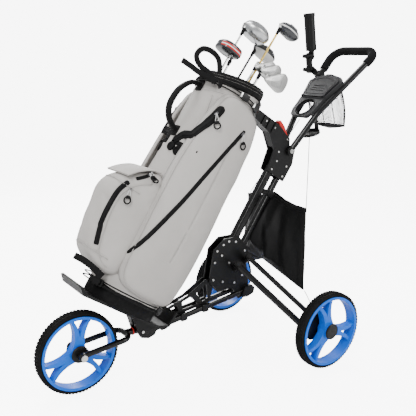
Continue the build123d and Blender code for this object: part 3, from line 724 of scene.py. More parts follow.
# Bag --------------------------------------------------------------------------------------
SHELL_ROWS = (  # u, half width, half depth, middle w, squareness
    (-0.006, 0.106, 0.114, 0.008, 2.2), (0.012, 0.114, 0.122, 0.009, 2.3), (0.06, 0.120, 0.128, 0.010, 2.4),
    (0.20, 0.121, 0.131, 0.011, 2.4), (0.40, 0.120, 0.131, 0.012, 2.4), (0.55, 0.118, 0.127, 0.011, 2.3),
    (0.66, 0.115, 0.122, 0.009, 2.2), (0.76, 0.113, 0.117, 0.005, 2.1), (0.90, 0.112, 0.114, 0.0, 2.0))


def between(rows, u):
    """The row at height u, worked out smoothly between its neighbours."""
    for a, b in zip(rows, rows[1:]):
        if u <= b[0]:
            t = (u - a[0]) / (b[0] - a[0])
            t = t * t * (3 - 2 * t)
            return [p + (q - p) * t for p, q in zip(a, b)]
    return list(rows[-1])


def shell_point(angle, u):
    """A point of the bag's shell; angle 0 is behind the bag and a quarter turn is its right."""
    _, rx, rw, w, power = between(SHELL_ROWS, u)
    c, s = math.cos(angle), math.sin(angle)
    return (rx * math.copysign(abs(s) ** (2 / power), s), w + rw * math.copysign(abs(c) ** (2 / power), c))


SEAM_ANGLES = [math.radians(a) for a in (38, 128, 232, 322)]


def collar_base(w):
    """Height of the collar's lower edge at w behind the axis."""
    return 0.838 + COLLAR_RISE * w


def make_shell():
    """The bag's body: woven cloth between four long seams, slightly slack."""
    around, levels = 120, 84
    maker = Maker()
    rings = []
    for k in range(levels + 1):
        share = k / levels
        ring = []
        for j in range(around):
            angle = 2 * math.pi * j / around
            x, w = shell_point(angle, 0.3)
            top = collar_base(w) + 0.010
            u = -0.004 + (top + 0.004) * share
            x, w = shell_point(angle, u)
            p = bag(x, w, u)
            out = (SIDE * x + BACK * (w - 0.01)).normalized()
            sag = crease_noise((x, w, u * 0.6), 0.11, 3.0) * 0.0022
            pull = crease_noise((x * 0.5, w * 0.5, u), 0.030, 9.0) * 0.0014
            near_top = max(0.0, 1 - abs(u - 0.76) / 0.14)
            ring.append(p + out * (sag + pull * (0.5 + near_top)))
        rings.append(ring)
    maker.rings(rings)
    piece = maker.object("bag_shell", [FINISHES["Bag cloth"]])

    def held(index, co):
        level, j = divmod(index, around)
        if level <= 1 or level >= levels - 1:
            return 1.0
        angle = 2 * math.pi * j / around
        near = min(abs(angle - s) for s in SEAM_ANGLES)
        return 1.0 if near < 0.04 else 0.0

    puff(piece, held, 1.5, 0.006, 14)
    foot = Maker()
    ring = [shell_point(2 * math.pi * j / 72, 0.012) for j in range(72)]
    rows = ((0.975, -0.012), (1.03, -0.008), (1.045, 0.010), (1.040, 0.040), (1.028, 0.052), (1.0, 0.050))
    foot.rings([[bag(x * k, 0.009 + (w - 0.009) * k, u) for x, w in ring] for k, u in rows], caps=True)
    base = foot.object("bag_base", [FINISHES["Trim rubber"]], sharp=40)
    settle(base, "frame")
    return settle(piece, "frame", ("bag_body",))


SIDE_EDGE = (  # w, u round the side pocket, front edge first
    (-0.070, 0.790), (-0.092, 0.715), (-0.106, 0.620), (-0.114, 0.520), (-0.116, 0.420), (-0.115, 0.320),
    (-0.113, 0.220), (-0.110, 0.130), (-0.092, 0.080), (-0.040, 0.058), (0.040, 0.054), (0.112, 0.064),
    (0.158, 0.105), (0.180, 0.170), (0.184, 0.260), (0.174, 0.350), (0.166, 0.440), (0.168, 0.550),
    (0.178, 0.640),
    (0.166, 0.715), (0.120, 0.765), (0.060, 0.792), (-0.010, 0.806))


def side_base(w, u):
    """How far out the shell's side is at w and u, flattened past its shoulders."""
    _, rx, rw, mid, _ = between(SHELL_ROWS, u)
    t = min(0.985, abs(w - mid) / (rw + 0.020))
    return rx * (1 - t ** 3.4) ** (1 / 2.6)


def make_side_pocket(side):
    """A long pocket down one side, filled out between its seams."""
    edge = smooth([Vector((0, w, u)) for w, u in SIDE_EDGE], 6, closed=True)
    rings_in = 13
    maker = Maker()
    front, back = [], []
    for k in range(rings_in + 1):
        share = k / rings_in
        ring, under = [], []
        for p in edge:
            spine_u = min(max(p.z, 0.20), 0.68)
            spine = Vector((0, 0.018 + 0.02 * (spine_u - 0.4), spine_u))
            q = p.lerp(spine, share)
            dome = math.sqrt(max(0.0, 1 - (1 - min(1.0, share / 0.62)) ** 2.2))
            lower_full = 0.78 + 0.22 * math.exp(-((q.z - 0.30) / 0.24) ** 2)
            x = side_base(q.y, q.z) + 0.003 + 0.030 * dome * lower_full
            x += crease_noise((0, q.y, q.z * 0.7), 0.09, 5.0 + side) * 0.003 * dome
            ring.append(bag(side * x, q.y, q.z))
            under.append(bag(side * (side_base(q.y, q.z) - 0.012), q.y, q.z))
        front.append(ring)
        back.append(under)
    maker.rings(back[::-1] + front)
    piece = maker.object("side_pocket_right" if side > 0 else "side_pocket_left", [FINISHES["Bag cloth"]],
                         merge=0.0006)
    line = zip_line(ZIP_LONG) + zip_line(ZIP_SHORT)

    def held(index, co):
        x = abs(co.x)
        local = local_of(co)
        if x < side_base(local[1], local[2]) + 0.006:
            return 1.0
        near = min((Vector((0, local[1], local[2])) - q).length for q in line)
        return 0.9 if near < 0.006 else 0.0

    puff(piece, held, 3.0, 0.009, 18)
    return piece


def local_of(co):
    """The bag's own (x, w, u) of a world point."""
    d = Vector(co) - FOOT
    return d.x, d.dot(BACK), d.dot(UP)


ZIP_LONG = ((0.045, 0.720), (0.020, 0.640), (-0.012, 0.540), (-0.044, 0.430), (-0.077, 0.310),
            (-0.100, 0.220),
            (-0.113, 0.167))
ZIP_SHORT = ((-0.069, 0.746), (-0.084, 0.690), (-0.102, 0.630), (-0.118, 0.570))


def zip_line(route):
    return evenly(smooth([Vector((0, w, u)) for w, u in route], 6), 0.008)


BALL_SIDE = (  # w, u of the ball pocket's outline seen from the side
    (-0.116, 0.446), (-0.163, 0.434), (-0.212, 0.397), (-0.245, 0.368), (-0.262, 0.333), (-0.261, 0.285),
    (-0.250, 0.209), (-0.238, 0.150), (-0.220, 0.112), (-0.175, 0.084), (-0.120, 0.074), (-0.078, 0.100),
    (-0.074, 0.250), (-0.078, 0.400))
BALL_HALF = 0.090


def smooth_share(t):
    """t held between 0 and 1, eased at both ends."""
    t = min(1.0, max(0.0, t))
    return t * t * (3 - 2 * t)


def make_ball_pocket():
    """The rounded ball pocket at the front, with soft walls between its edge seams."""
    outline = smooth([Vector((0, w, u)) for w, u in BALL_SIDE], 8, closed=True)
    centre = Vector((0, -0.150, 0.250))
    maker = Maker()
    rings = []
    steps = 28
    for k in range(1, steps):
        phi = math.pi * (k / steps - 0.5)
        keep = max(0.02, math.cos(phi)) ** (2 / 5.5)
        x = BALL_HALF * math.copysign(abs(math.sin(phi)) ** (2 / 5.5), phi)
        ring = []
        for p in outline:
            q = centre + (p - centre) * keep
            widen = 1.03 - 0.40 * smooth_share((-0.125 - q.y) / 0.135)
            wave = crease_noise((x, q.y, q.z), 0.07, 21.0) * 0.0025
            ring.append(bag(x * widen + math.copysign(wave, x), q.y + wave, q.z))
        rings.append(ring)
    maker.rings(rings)
    piece = maker.object("ball_pocket_cloth", [FINISHES["Bag cloth"]])

    def held(index, co):
        x, w, u = local_of(co)
        corner = abs(x) > 0.055 and min((Vector((0, w, u)) - p).length for p in outline[::2]) < 0.012
        return 1.0 if w > -0.13 or corner else 0.0

    puff(piece, held, 3.0, 0.008, 18)
    return settle(piece, "frame", ("ball_pocket",))


# Trims ------------------------------------------------------------------------------------
def cord_edge(name, tree, route, direction, radius=0.0022, finish="Grey piping", closed=False, pitch=0.006):
    """A piped seam laid on a surface, with a row of stitches on either side."""
    points = evenly(smooth(route, 8, closed), pitch, closed)
    line, outs = laid(tree, points, direction, radius * 0.35)
    maker = Maker()
    maker.tube(line, radius, 8, closed)
    cord = maker.object(name + "_cord", [FINISHES[finish]])
    parts = [cord]
    for aside in (-0.0058, 0.0058):
        near, near_outs = laid(tree, [p + t.cross(o).normalized() * aside
                                      for p, t, o in zip(line, path_tangents(line, closed), outs)],
                                      direction, 0.0002)
        marks = marks_along(near, near_outs, 0.0046)
        parts.append(repeated(f"{name}_stitches_{'a' if aside < 0 else 'b'}", "bead", marks,
                              (0.0034, 0.0010, 0.0008), FINISHES["Grey thread"]))
    return joined(name, parts)


def zip_strip(name, tree, route, direction, tape=0.015):
    """A zip: a black tape and two rows of teeth.  Gives the piece, its line and its outs."""
    points = evenly(smooth(route, 8), 0.005)
    line, outs = laid(tree, points, direction, 0.0008)
    maker = Maker()
    maker.sweep(line, lambda s: slab(tape * (1.0 if 0.02 < s < 0.98 else 0.8), 0.0022), facing=outs)
    ridge = [p + o * 0.0013 for p, o in zip(line, outs)]
    maker.sweep(ridge, lambda s: slab(0.0052, 0.0018), facing=outs, mark=1)
    strip = maker.object(name + "_tape", [FINISHES["Webbing"], FINISHES["Zip teeth"]], sharp=50)
    teeth = []
    for aside in (-0.0011, 0.0011):
        teeth += marks_along(line, outs, 0.0030, lift=0.0024, aside=aside)
    row = repeated(name + "_teeth", "block", teeth, (0.0014, 0.0026, 0.0012), FINISHES["Zip teeth"], False)
    return joined(name, [strip, row]), line, outs


def zip_pull(maker, place, along, out, drop, length=0.052, size=0.0105):
    """A slider and its pull: a loop of cord that ends in a rubber ring."""
    across = along.cross(out).normalized()
    maker.cushion(place + out * 0.0040, (along, across, out), (0.0075, 0.0048, 0.0028), 0.0020, mark=0)
    bridge = [place + along * d + out * h for d, h in ((-0.004, 0.006), (-0.002, 0.0092), (0.002, 0.0092),
                                                        (0.004, 0.006))]
    maker.tube(smooth(bridge, 4), 0.0011, 8, mark=0)
    drop = (drop - out * drop.dot(out)).normalized()
    wide = drop.cross(out).normalized()
    start = place + out * 0.0095
    cord = [start + wide * 0.0008, start + drop * length * 0.3 + wide * 0.0035 - out * 0.003,
            start + drop * length * 0.62 + wide * 0.0050 - out * 0.005,
            start + drop * length * 0.62 - wide * 0.0050 - out * 0.005,
            start + drop * length * 0.3 - wide * 0.0035 - out * 0.003, start - wide * 0.0008]
    maker.tube(smooth(cord, 6), 0.0013, 8, mark=1)
    centre = start + drop * (length * 0.62 + size) - out * 0.005
    ring = []
    for k in range(28):
        t = 2 * math.pi * k / 28
        ring.append(centre + drop * math.cos(t) * size * 1.12 + wide * math.sin(t) * size)
    maker.sweep(ring, lambda s: slab(0.0048, 0.0042), closed=True, caps=False, mark=2, facing=out)
    maker.cushion(start + drop * length * 0.62 - out * 0.005, (drop, wide, out), (0.0055, 0.0070, 0.0034),
                  0.002,
                  mark=2)


def make_side_trims(side, pocket, shell):
    """Piping, zips and pulls of one side pocket."""
    name = "right" if side > 0 else "left"
    tree = surface_of(pocket, shell)
    inward = SIDE * -side
    inset = []
    for w, u in SIDE_EDGE:
        q = Vector((0, w, u)).lerp(Vector((0, 0.02, min(max(u, 0.18), 0.70))), 0.045)
        inset.append(bag(side * 0.2, q.y, q.z))
    piping = cord_edge(f"side_piping_{name}", tree, inset, inward, 0.0020, closed=True)
    settle(piping, "frame")
    long_zip, line, outs = zip_strip(f"zip_long_{name}", tree, [bag(side * 0.2, w, u) for w, u in ZIP_LONG],
                                     inward)
    settle(long_zip, "frame")
    pulls = Maker()
    down = Vector((0, 0.05, -1.0))
    zip_pull(pulls, line[3], (line[4] - line[2]).normalized(), outs[3], down, 0.050)
    route = evenly(smooth([bag(side * 0.2, w, u) for w, u in ZIP_SHORT], 6), 0.005)
    line, outs = laid(tree, route, inward, 0.0012)
    patch = Maker()
    patch.sweep(line, lambda s: slab(0.030 * math.sqrt(max(0.06, 1 - (2 * s - 1) ** 14)), 0.0030),
                facing=outs)
    patch.sweep([p + o * 0.0022 for p, o in zip(line[2:-2], outs[2:-2])], lambda s: slab(0.009, 0.0026),
                facing=outs[2:-2], mark=1)
    settle(patch.object(f"zip_short_{name}", [FINISHES["Trim rubber"], FINISHES["Zip teeth"]], sharp=50),
           "frame")
    zip_pull(pulls, line[7], (line[8] - line[6]).normalized(), outs[7], down, 0.050)
    settle(pulls.object(f"side_pulls_{name}", [FINISHES["Dark metal"], FINISHES["Cord white"],
                                               FINISHES["Trim rubber"]], sharp=50), "frame")


def make_ball_trims(ball, shell):
    """Edge piping, the curved zips, the top flap and the pulls of the ball pocket."""
    tree = surface_of(ball, shell)
    pulls = Maker()
    for side in (1, -1):
        name = "right" if side > 0 else "left"
        inward = SIDE * -side
        route = [bag(side * 0.2, w, u) for w, u in ((-0.214, 0.372), (-0.231, 0.335), (-0.236, 0.285),
                                                    (-0.230, 0.215), (-0.212, 0.145))]
        strip, line, outs = zip_strip(f"ball_zip_{name}", tree, route, inward, 0.017)
        settle(strip, "frame")
        route = [bag(side * 0.2, w, u) for w, u in ((-0.146, 0.402), (-0.190, 0.370), (-0.218, 0.325),
                                                    (-0.222, 0.270), (-0.214, 0.205), (-0.198, 0.140),
                                                    (-0.172, 0.105), (-0.146, 0.096))]
        settle(cord_edge(f"ball_piping_{name}", tree, route, inward, 0.0018), "frame")
        top = [bag(side * 0.2, w, u) for w, u in ((-0.150, 0.438), (-0.172, 0.414), (-0.196, 0.392))]
        strip, line, outs = zip_strip(f"top_zip_{name}", tree, top, inward, 0.013)
        settle(strip, "frame")
        for spot in (2, 4):
            zip_pull(pulls, line[spot], (line[spot + 1] - line[spot - 1]).normalized(), outs[spot],
                     Vector((0, -0.1 if spot == 2 else 0.25, -1.0)), 0.038, 0.0085)
    for u in (0.352, 0.118):
        route = [bag(x, -0.45, u + 0.012 * (1 - (x / 0.09) ** 2)) for x in (-0.084, -0.045, 0.0, 0.045,
                                                                            0.084)]
        settle(cord_edge("ball_front_" + ("top" if u > 0.2 else "low"), tree, route, BACK, 0.0018), "frame")
    hit, outs = laid(tree, [bag(0.070, -0.45, 0.352)], BACK, 0.0015)
    zip_pull(pulls, hit[0], SIDE, outs[0], Vector((0.0, -0.35, -1.0)), 0.045)
    flap = Maker()
    line = [bag(0, w, u) for w, u in ((-0.128, 0.452), (-0.165, 0.443), (-0.205, 0.418), (-0.236, 0.388))]
    flap.sweep(smooth(line, 6), lambda s: slab(0.150, 0.006), facing=(-BACK + UP))
    settle(flap.object("ball_flap", [FINISHES["Bag cloth"]], sharp=60), "frame")
    settle(pulls.object("ball_pulls",
                        [FINISHES["Dark metal"], FINISHES["Cord white"], FINISHES["Trim rubber"]],
                        sharp=50), "frame")


def make_snaps(shell, right):
    """Round snap buttons on the front panel and the seams of the shell."""
    tree = surface_of(shell, right)
    maker = Maker()
    for x, w, u, direction in ((0.055, -0.20, 0.548, BACK), (0.092, -0.20, 0.556, BACK - SIDE * 0.8),
                               (-0.055, -0.20, 0.548, BACK)):
        hit, outs = laid(tree, [bag(x, w, u)], direction, 0.0)
        profile = [(0.0165, 0.0), (0.0172, 0.003), (0.0150, 0.0075), (0.0095, 0.0085), (0.0085, 0.0065),
                   (0.004, 0.0062), (0.0008, 0.0066)]
        maker.lathe(profile, hit[0] - outs[0] * 0.001, outs[0], 28)
    settle(maker.object("snap_buttons", [FINISHES["Trim rubber"]], sharp=40), "frame")
    shell_tree = surface_of(shell)
    for side in (1, -1):
        route = [bag(side * x, -0.4, u) for x,
                 u in ((0.066, 0.775), (0.078, 0.68), (0.086, 0.58), (0.090, 0.47))]
        settle(cord_edge(f"front_seam_{'right' if side > 0 else 'left'}", shell_tree, route, BACK, 0.0014),
               "frame")
    route = [bag(x, -0.4, 0.792 - 0.01 * math.cos(x * 20)) for x in (-0.09, -0.05, 0.0, 0.05, 0.09)]
    settle(cord_edge("neck_seam", shell_tree, route, BACK, 0.0012), "frame")


# Collar, handles and straps ---------------------------------------------------------------
def make_collar():
    """The padded collar, its rolled rim, the dividers and the lifting loop."""
    maker = Maker()
    rings = []
    for k in range(96):
        t = 2 * math.pi * k / 96
        bulge = 0.0012 * math.sin(24 * t)
        ring = []
        for r, h in ((0.0985, 0.002), (0.0990, 0.034), (0.1010, 0.0405), (0.1055, 0.0440), (0.1115, 0.0430),
                     (0.1160, 0.0385), (0.1190, 0.030), (0.1180, 0.0215), (0.1197, 0.0140), (0.1185, 0.004),
                     (0.1150, -0.002), (0.1050, -0.003)):
            r = r + (bulge if r > 0.11 else 0)
            w = r * math.cos(t)
            ring.append(bag(r * math.sin(t), w, collar_base(w) + 0.004 + h * 0.92))
        rings.append(ring)
    maker.rings(rings, closed=True)
    for line in (((-0.099, -0.006), (-0.05, -0.007), (0.0, -0.006), (0.05, -0.005), (0.099, -0.006)),
                 ((0.002, -0.099), (0.002, -0.05), (0.002, -0.008))):
        path = smooth([bag(x, w, collar_base(w) + 0.022) for x, w in line], 6)
        maker.sweep(path, lambda s: oval(0.0035, 0.016, 14, 2.6), facing=UP, mark=1)
    collar = maker.object("collar_ring", [FINISHES["Black cloth"], FINISHES["Webbing"]])
    settle(collar, "frame", ("collar",))
    marks = []
    for level, radius in ((0.0165, 0.1202), (0.0265, 0.1196)):
        for k in range(190):
            t = 2 * math.pi * k / 190
            w = radius * math.cos(t)
            out = (SIDE * math.sin(t) + BACK * math.cos(t)).normalized()
            marks.append((bag(radius * math.sin(t), w, collar_base(w) + 0.004 + level), out.cross(UP), out))
    settle(repeated("collar_stitches", "bead", marks, (0.0034, 0.0008, 0.0008), FINISHES["Grey thread"]),
           "frame")
    loop = Maker()
    path = smooth([bag(0.058, -0.104, 0.815), bag(0.046, -0.130, 0.835), bag(0.030, -0.172, 0.842),
                   bag(0.026, -0.198, 0.862), bag(0.024, -0.190, 0.893), bag(0.030, -0.160, 0.906),
                   bag(0.036, -0.124, 0.900), bag(0.044, -0.104, 0.872), bag(0.048, -0.098, 0.852)], 8)
    loop.sweep(path, lambda s: oval(0.0100, 0.0060, 16, 2.4), facing=SIDE)
    settle(loop.object("lifting_loop", [FINISHES["Webbing"]]), "frame")


def make_carry_handle():
    """The padded carry handle on the front of the bag, with its end tabs."""
    maker = Maker()
    path = smooth([bag(0, w, u) for w,
                   u in ((-0.114, 0.799), (-0.150, 0.787), (-0.176, 0.752), (-0.186, 0.715),
                                             (-0.184, 0.672), (-0.162, 0.637), (-0.128, 0.619),
                                             (-0.114, 0.616))], 9)
    maker.sweep(path, lambda s: oval(0.0125, 0.0075 + 0.0024 * math.sin(math.pi * s), 18, 2.5),
                facing=-BACK)
    piece = maker.object("carry_handle_pad", [FINISHES["Webbing"]])
    tabs = Maker()
    for w, u in ((-0.1150, 0.796), (-0.1180, 0.614)):
        tabs.cushion(bag(0, w, u), (SIDE, UP, BACK), (0.017, 0.020, 0.0035), 0.003)
    piece = joined("carry_handle_pad", [piece, tabs.object("tabs", [FINISHES["Webbing"]])])
    marks = []
    tangents = path_tangents(path, False)
    outs = path_outs(tangents, -BACK)
    for aside in (-0.0082, 0.0082):
        marks += marks_along(path, outs, 0.0045, lift=0.0062, aside=aside)
    stitches = repeated("handle_stitches", "bead", marks, (0.0034, 0.0009, 0.0008), FINISHES["Trim rubber"])
    settle(stitches, "frame")
    return settle(piece, "frame", ("carry_handle",))


def buckle(maker, place, along, out, width=0.026, length=0.034, thick=0.010):
    """A side-release buckle: a body with a waist, two prongs and its strap slots."""
    across = along.cross(out).normalized()
    axes = (along, across, out)
    maker.cushion(place, axes, (length * 0.42, width * 0.50, thick * 0.5), 0.003)
    maker.cushion(place + along * length * 0.50, axes, (length * 0.16, width * 0.36, thick * 0.36), 0.002)
    for side in (-1, 1):
        maker.cushion(place + along * length * 0.25 + across * side * width * 0.50, axes,
                      (length * 0.20, width * 0.10, thick * 0.34), 0.0015)
        maker.cushion(place - along * length * 0.52 + across * side * width * 0.40, axes,
                      (length * 0.18, width * 0.08, thick * 0.30), 0.0015)
    maker.cushion(place - along * length * 0.68, axes, (length * 0.06, width * 0.48, thick * 0.34), 0.0015)


def ring_point(angle, radius, u):
    """A point on a ring round the bag; angle 0 is behind the bag."""
    a = math.radians(angle)
    return bag(radius * math.sin(a), radius * math.cos(a), u)


def cord_route(name, points, diameter, material, smooth_order=3):
    """A cord's own line: one soft spline with the route's points."""
    curve = bpy.data.curves.new(name, "CURVE")
    curve.dimensions = "3D"
    spline = curve.splines.new("NURBS")
    spline.points.add(len(points) - 1)
    for point, p in zip(spline.points, points):
        point.co = (*p, 1.0)
    spline.order_u = smooth_order
    spline.use_endpoint_u = True
    spline.resolution_u = 8
    curve.bevel_depth = diameter / 2
    curve.bevel_resolution = 3
    curve.use_fill_caps = True
    curve.materials.append(material)
    piece = bpy.data.objects.new(name, curve)
    bpy.context.scene.collection.objects.link(piece)
    return piece


def route_length(piece):
    """The length of a cord's line, and the line's points."""
    depth = piece.data.bevel_depth
    piece.data.bevel_depth = 0.0
    view = bpy.context.evaluated_depsgraph_get()
    mesh = bpy.data.meshes.new_from_object(piece.evaluated_get(view))
    piece.data.bevel_depth = depth
    points = [v.co.copy() for v in mesh.vertices]
    return sum((b - a).length for a, b in zip(points, points[1:])), points


def make_straps():
    """Bungee cords, their hooks and blocks, and the strap tails with their buckles."""
    bungees = (("neck_bungee", "upper_bungee", (0.8145, 0.8265), 0.1220, 64, 296),
               ("foot_bungee", "lower_bungee", (0.0345, 0.0485), 0.1465, 50, 310))
    for name, node, heights, radius, start, stop in bungees:
        for k, u in enumerate(heights):
            count = 17
            reach = radius * 1.006
            points = [ring_point(start + (stop - start) * i / (count - 1), reach, u) for i in range(count)]
            piece = cord_route(f"{name}_{k + 1}", points, 0.0048, FINISHES["Elastic cord"])
            length, _ = route_length(piece)
            settle(piece, "frame", (node,) if k == 0 else ())
    maker = Maker()
    for angle, radius, u in ((94, 0.127, 0.8205), (62, 0.128, 0.8205), (298, 0.128, 0.8205)):
        a = math.radians(angle)
        out = (SIDE * math.sin(a) + BACK * math.cos(a)).normalized()
        place = ring_point(angle, radius, u)
        maker.cushion(place, (out.cross(UP), UP, out), (0.016, 0.013, 0.0065), 0.004)
        maker.cushion(place + out.cross(UP) * 0.018, (out.cross(UP), UP, out), (0.005, 0.009, 0.004), 0.002,
                      mark=1)
    for angle, radius, u in ((158, 0.150, 0.0415), (50, 0.150, 0.0415), (310, 0.150, 0.0415)):
        a = math.radians(angle)
        out = (SIDE * math.sin(a) + BACK * math.cos(a)).normalized()
        buckle(maker, ring_point(angle, radius + 0.002, u), out.cross(UP), out)
    settle(maker.object("hooks_and_buckles", [FINISHES["Bracket plastic"], FINISHES["Zinc plate"]],
                        sharp=50),
           "frame", ("strap_buckles",))
    tails = Maker()
    upper = smooth([bag(0.088, -0.118, 0.810), bag(0.074, -0.142, 0.812), bag(0.060, -0.176, 0.810),
                    bag(0.050, -0.212, 0.812), bag(0.040, -0.246, 0.813)], 7)
    tails.strap(upper, 0.020, 0.0024, SIDE)
    lower = smooth([bag(0.076, -0.142, 0.062), bag(0.070, -0.178, 0.074), bag(0.058, -0.215, 0.082),
                    bag(0.046, -0.252, 0.084)], 7)
    tails.strap(lower, 0.022, 0.0024, SIDE)
    tri = [bag(0.112, 0.000, 0.800), bag(0.117, -0.010, 0.776), bag(0.119, 0.012, 0.760),
           bag(0.119, 0.034, 0.776), bag(0.116, 0.026, 0.800)]
    tails.tube(evenly(tri, 0.004, True), 0.0028, 8, closed=True, mark=1, caps=False)
    buckle(tails, bag(0.098, -0.108, 0.811), (BACK - SIDE * 0.6).normalized(),
           (SIDE - BACK * 0.6).normalized(), 0.024, 0.034)
    settle(tails.object("strap_tails", [FINISHES["Webbing"], FINISHES["Trim rubber"]], sharp=50), "frame")


# Storage pouch, net and grip --------------------------------------------------------------
def pouch_point(s, t, face):
    """A point of the storage pouch: s across from -1 to 1, t down from the hem, face -1 or 1."""
    a = abs(s)
    top = Vector((0.165 * a + 0.004, AXLE.y - 0.008 + 0.014 * a,
                  0.604 - 0.032 * a - 0.010 * math.sin(math.pi * a)))
    foot = Vector((0.192 * a, AXLE.y - 0.112 + 0.106 * a ** 0.8, 0.430 - 0.168 * a ** 0.9))
    p = top.lerp(foot, t)
    p.x = math.copysign(p.x, s) if s else 0.0
    edge = (1 - a ** 6) * math.sin(math.pi * min(1.0, 0.06 + 0.94 * t) * 0.97) ** 0.6
    full = 0.004 + 0.022 * edge * (0.35 + 0.65 * t)
    folds = math.sin(a * 17.0 + 0.6 * math.sin(5 * t)) * 0.0042 * (0.25 + 0.9 * t) * (1 - a ** 8)
    fine = crease_noise((p.x, p.y, p.z * 0.35), 0.022, 31.0) * 0.0035 * (0.3 + t)
    return p + Vector((0, face * full + folds + fine, 0.4 * fine))


def make_pouch():
    """The black storage pouch: two layers of satin cloth, folds, a hem and bound edges."""
    across, down = 96, 56
    maker = Maker()
    rings = []
    for k in range(down + 1):
        t = k / down
        ring = [pouch_point(-1 + 2 * j / across, t, 1) for j in range(across + 1)]
        ring += [pouch_point(1 - 2 * j / across, t, -1) for j in range(across + 1)]
        rings.append(ring)
    maker.rings(rings)
    for face in (-1, 1):
        hem = [pouch_point(-1 + 2 * j / across, 0.015,
                           face) + Vector((0, face * 0.002, 0)) for j in range(across + 1)]
        maker.sweep(hem, lambda s: slab(0.016, 0.0024), facing=(0, 1, 0.1), mark=1)
    for s in (-1, 1):
        edge = [(pouch_point(s, k / 24, 1) + pouch_point(s, k / 24, -1)) / 2 for k in range(25)]
        maker.tube(edge, 0.0034, 10, mark=1)
    piece = maker.object("pouch_cloth", [FINISHES["Pouch cloth"], FINISHES["Webbing"]])
    settle(piece, "frame", ("storage_pouch",))
    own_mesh(piece)


def make_pouch_cords():
    """The thin elastic cords that hold the pouch open."""
    for side, name in ((1, "right"), (-1, "left")):
        for part, route, bodies in (
                ("upper", [rear(side * 0.030, 0.140, 0.885), rear(side * 0.100, 0.076, 0.728),
                           rear(side * 0.169, 0.010, 0.577)], ("frame", "handle")),
                ("lower", [rear(side * 0.196, -0.002, 0.258), rear(side * 0.228, 0.0, 0.222),
                           rear(side * 0.258, 0.002, 0.188)], ("frame", f"upper_leg_{name}"))):
            curve = cord_route(f"line_{part}_{name}", route, 0.003, FINISHES["Elastic cord"])
            length, points = route_length(curve)
            view = bpy.context.evaluated_depsgraph_get()
            mesh = bpy.data.meshes.new_from_object(curve.evaluated_get(view))
            piece = bpy.data.objects.new(f"pouch_cord_{part}_{name}", mesh)
            bpy.context.scene.collection.objects.link(piece)
            bpy.data.objects.remove(curve)
            mesh.shade_smooth()
            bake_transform(piece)
            if part == "upper" and side > 0:
                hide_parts("pouch_cords")


SLOPE = Vector((0, 0.7282, 0.6854))
RISE = Vector((0, -0.6854, 0.7282))


def console(x, s, n):
    """A point of the console's plane: s up its slope, n out of its top."""
    return rear(0, 0.150, 0.915) + SIDE * x + SLOPE * s + RISE * n


def net_tree():
    """A node tree that turns every edge of a mesh into a thin cord."""
    tree = bpy.data.node_groups.new("Net cords", "GeometryNodeTree")
    tree.interface.new_socket("Surface", in_out="INPUT", socket_type="NodeSocketGeometry")
    size = tree.interface.new_socket("Cord radius", in_out="INPUT", socket_type="NodeSocketFloat")
    finish = tree.interface.new_socket("Finish", in_out="INPUT", socket_type="NodeSocketMaterial")
    tree.interface.new_socket("Geometry", in_out="OUTPUT", socket_type="NodeSocketGeometry")
    nodes, links = tree.nodes, tree.links
    start, end = nodes.new("NodeGroupInput"), nodes.new("NodeGroupOutput")
    curve, sweep = nodes.new("GeometryNodeMeshToCurve"), nodes.new("GeometryNodeCurveToMesh")
    round_, paint = nodes.new("GeometryNodeCurvePrimitiveCircle"), nodes.new("GeometryNodeSetMaterial")
    round_.inputs["Resolution"].default_value = 4
    real = nodes.new("GeometryNodeRealizeInstances")
    links.new(start.outputs["Surface"], curve.inputs["Mesh"])
    links.new(start.outputs["Cord radius"], round_.inputs["Radius"])
    links.new(curve.outputs["Curve"], sweep.inputs["Curve"])
    links.new(round_.outputs["Curve"], sweep.inputs["Profile Curve"])
    links.new(sweep.outputs["Mesh"], real.inputs["Geometry"])
    links.new(real.outputs["Geometry"], paint.inputs["Geometry"])
    links.new(start.outputs["Finish"], paint.inputs["Material"])
    links.new(paint.outputs["Geometry"], end.inputs["Geometry"])
    return tree, size.identifier, finish.identifier


def net_ring(t, count, shift):
    """A ring of the net's surface, from the console's underside to the sagging bottom."""
    ring = []
    for j in range(count):
        a = 2 * math.pi * (j + shift) / count
        c, s = math.cos(a), math.sin(a)
        power = 2 / 3.0
        u, v = math.copysign(abs(c) ** power, c), math.copysign(abs(s) ** power, s)
        top = console(0.080 * u, 0.122 + 0.044 * v, 0.004)
        low = rear(0.070 * u, 0.280 + 0.031 * v, 0.858)
        belly = math.sin(math.pi * min(1.0, t)) * 0.008
        p = top.lerp(low, min(1.0, t) ** 0.9) + Vector((u, v, 0)) * belly
        if t > 1.0:
            k = t - 1.0
            centre = rear(0, 0.280, 0.850)
            p = low.lerp(centre, min(1.0, k)) - Vector((0, 0, 0.004 * math.sin(math.pi * min(1.0, k) / 2)))
        ring.append(p)
    return ring


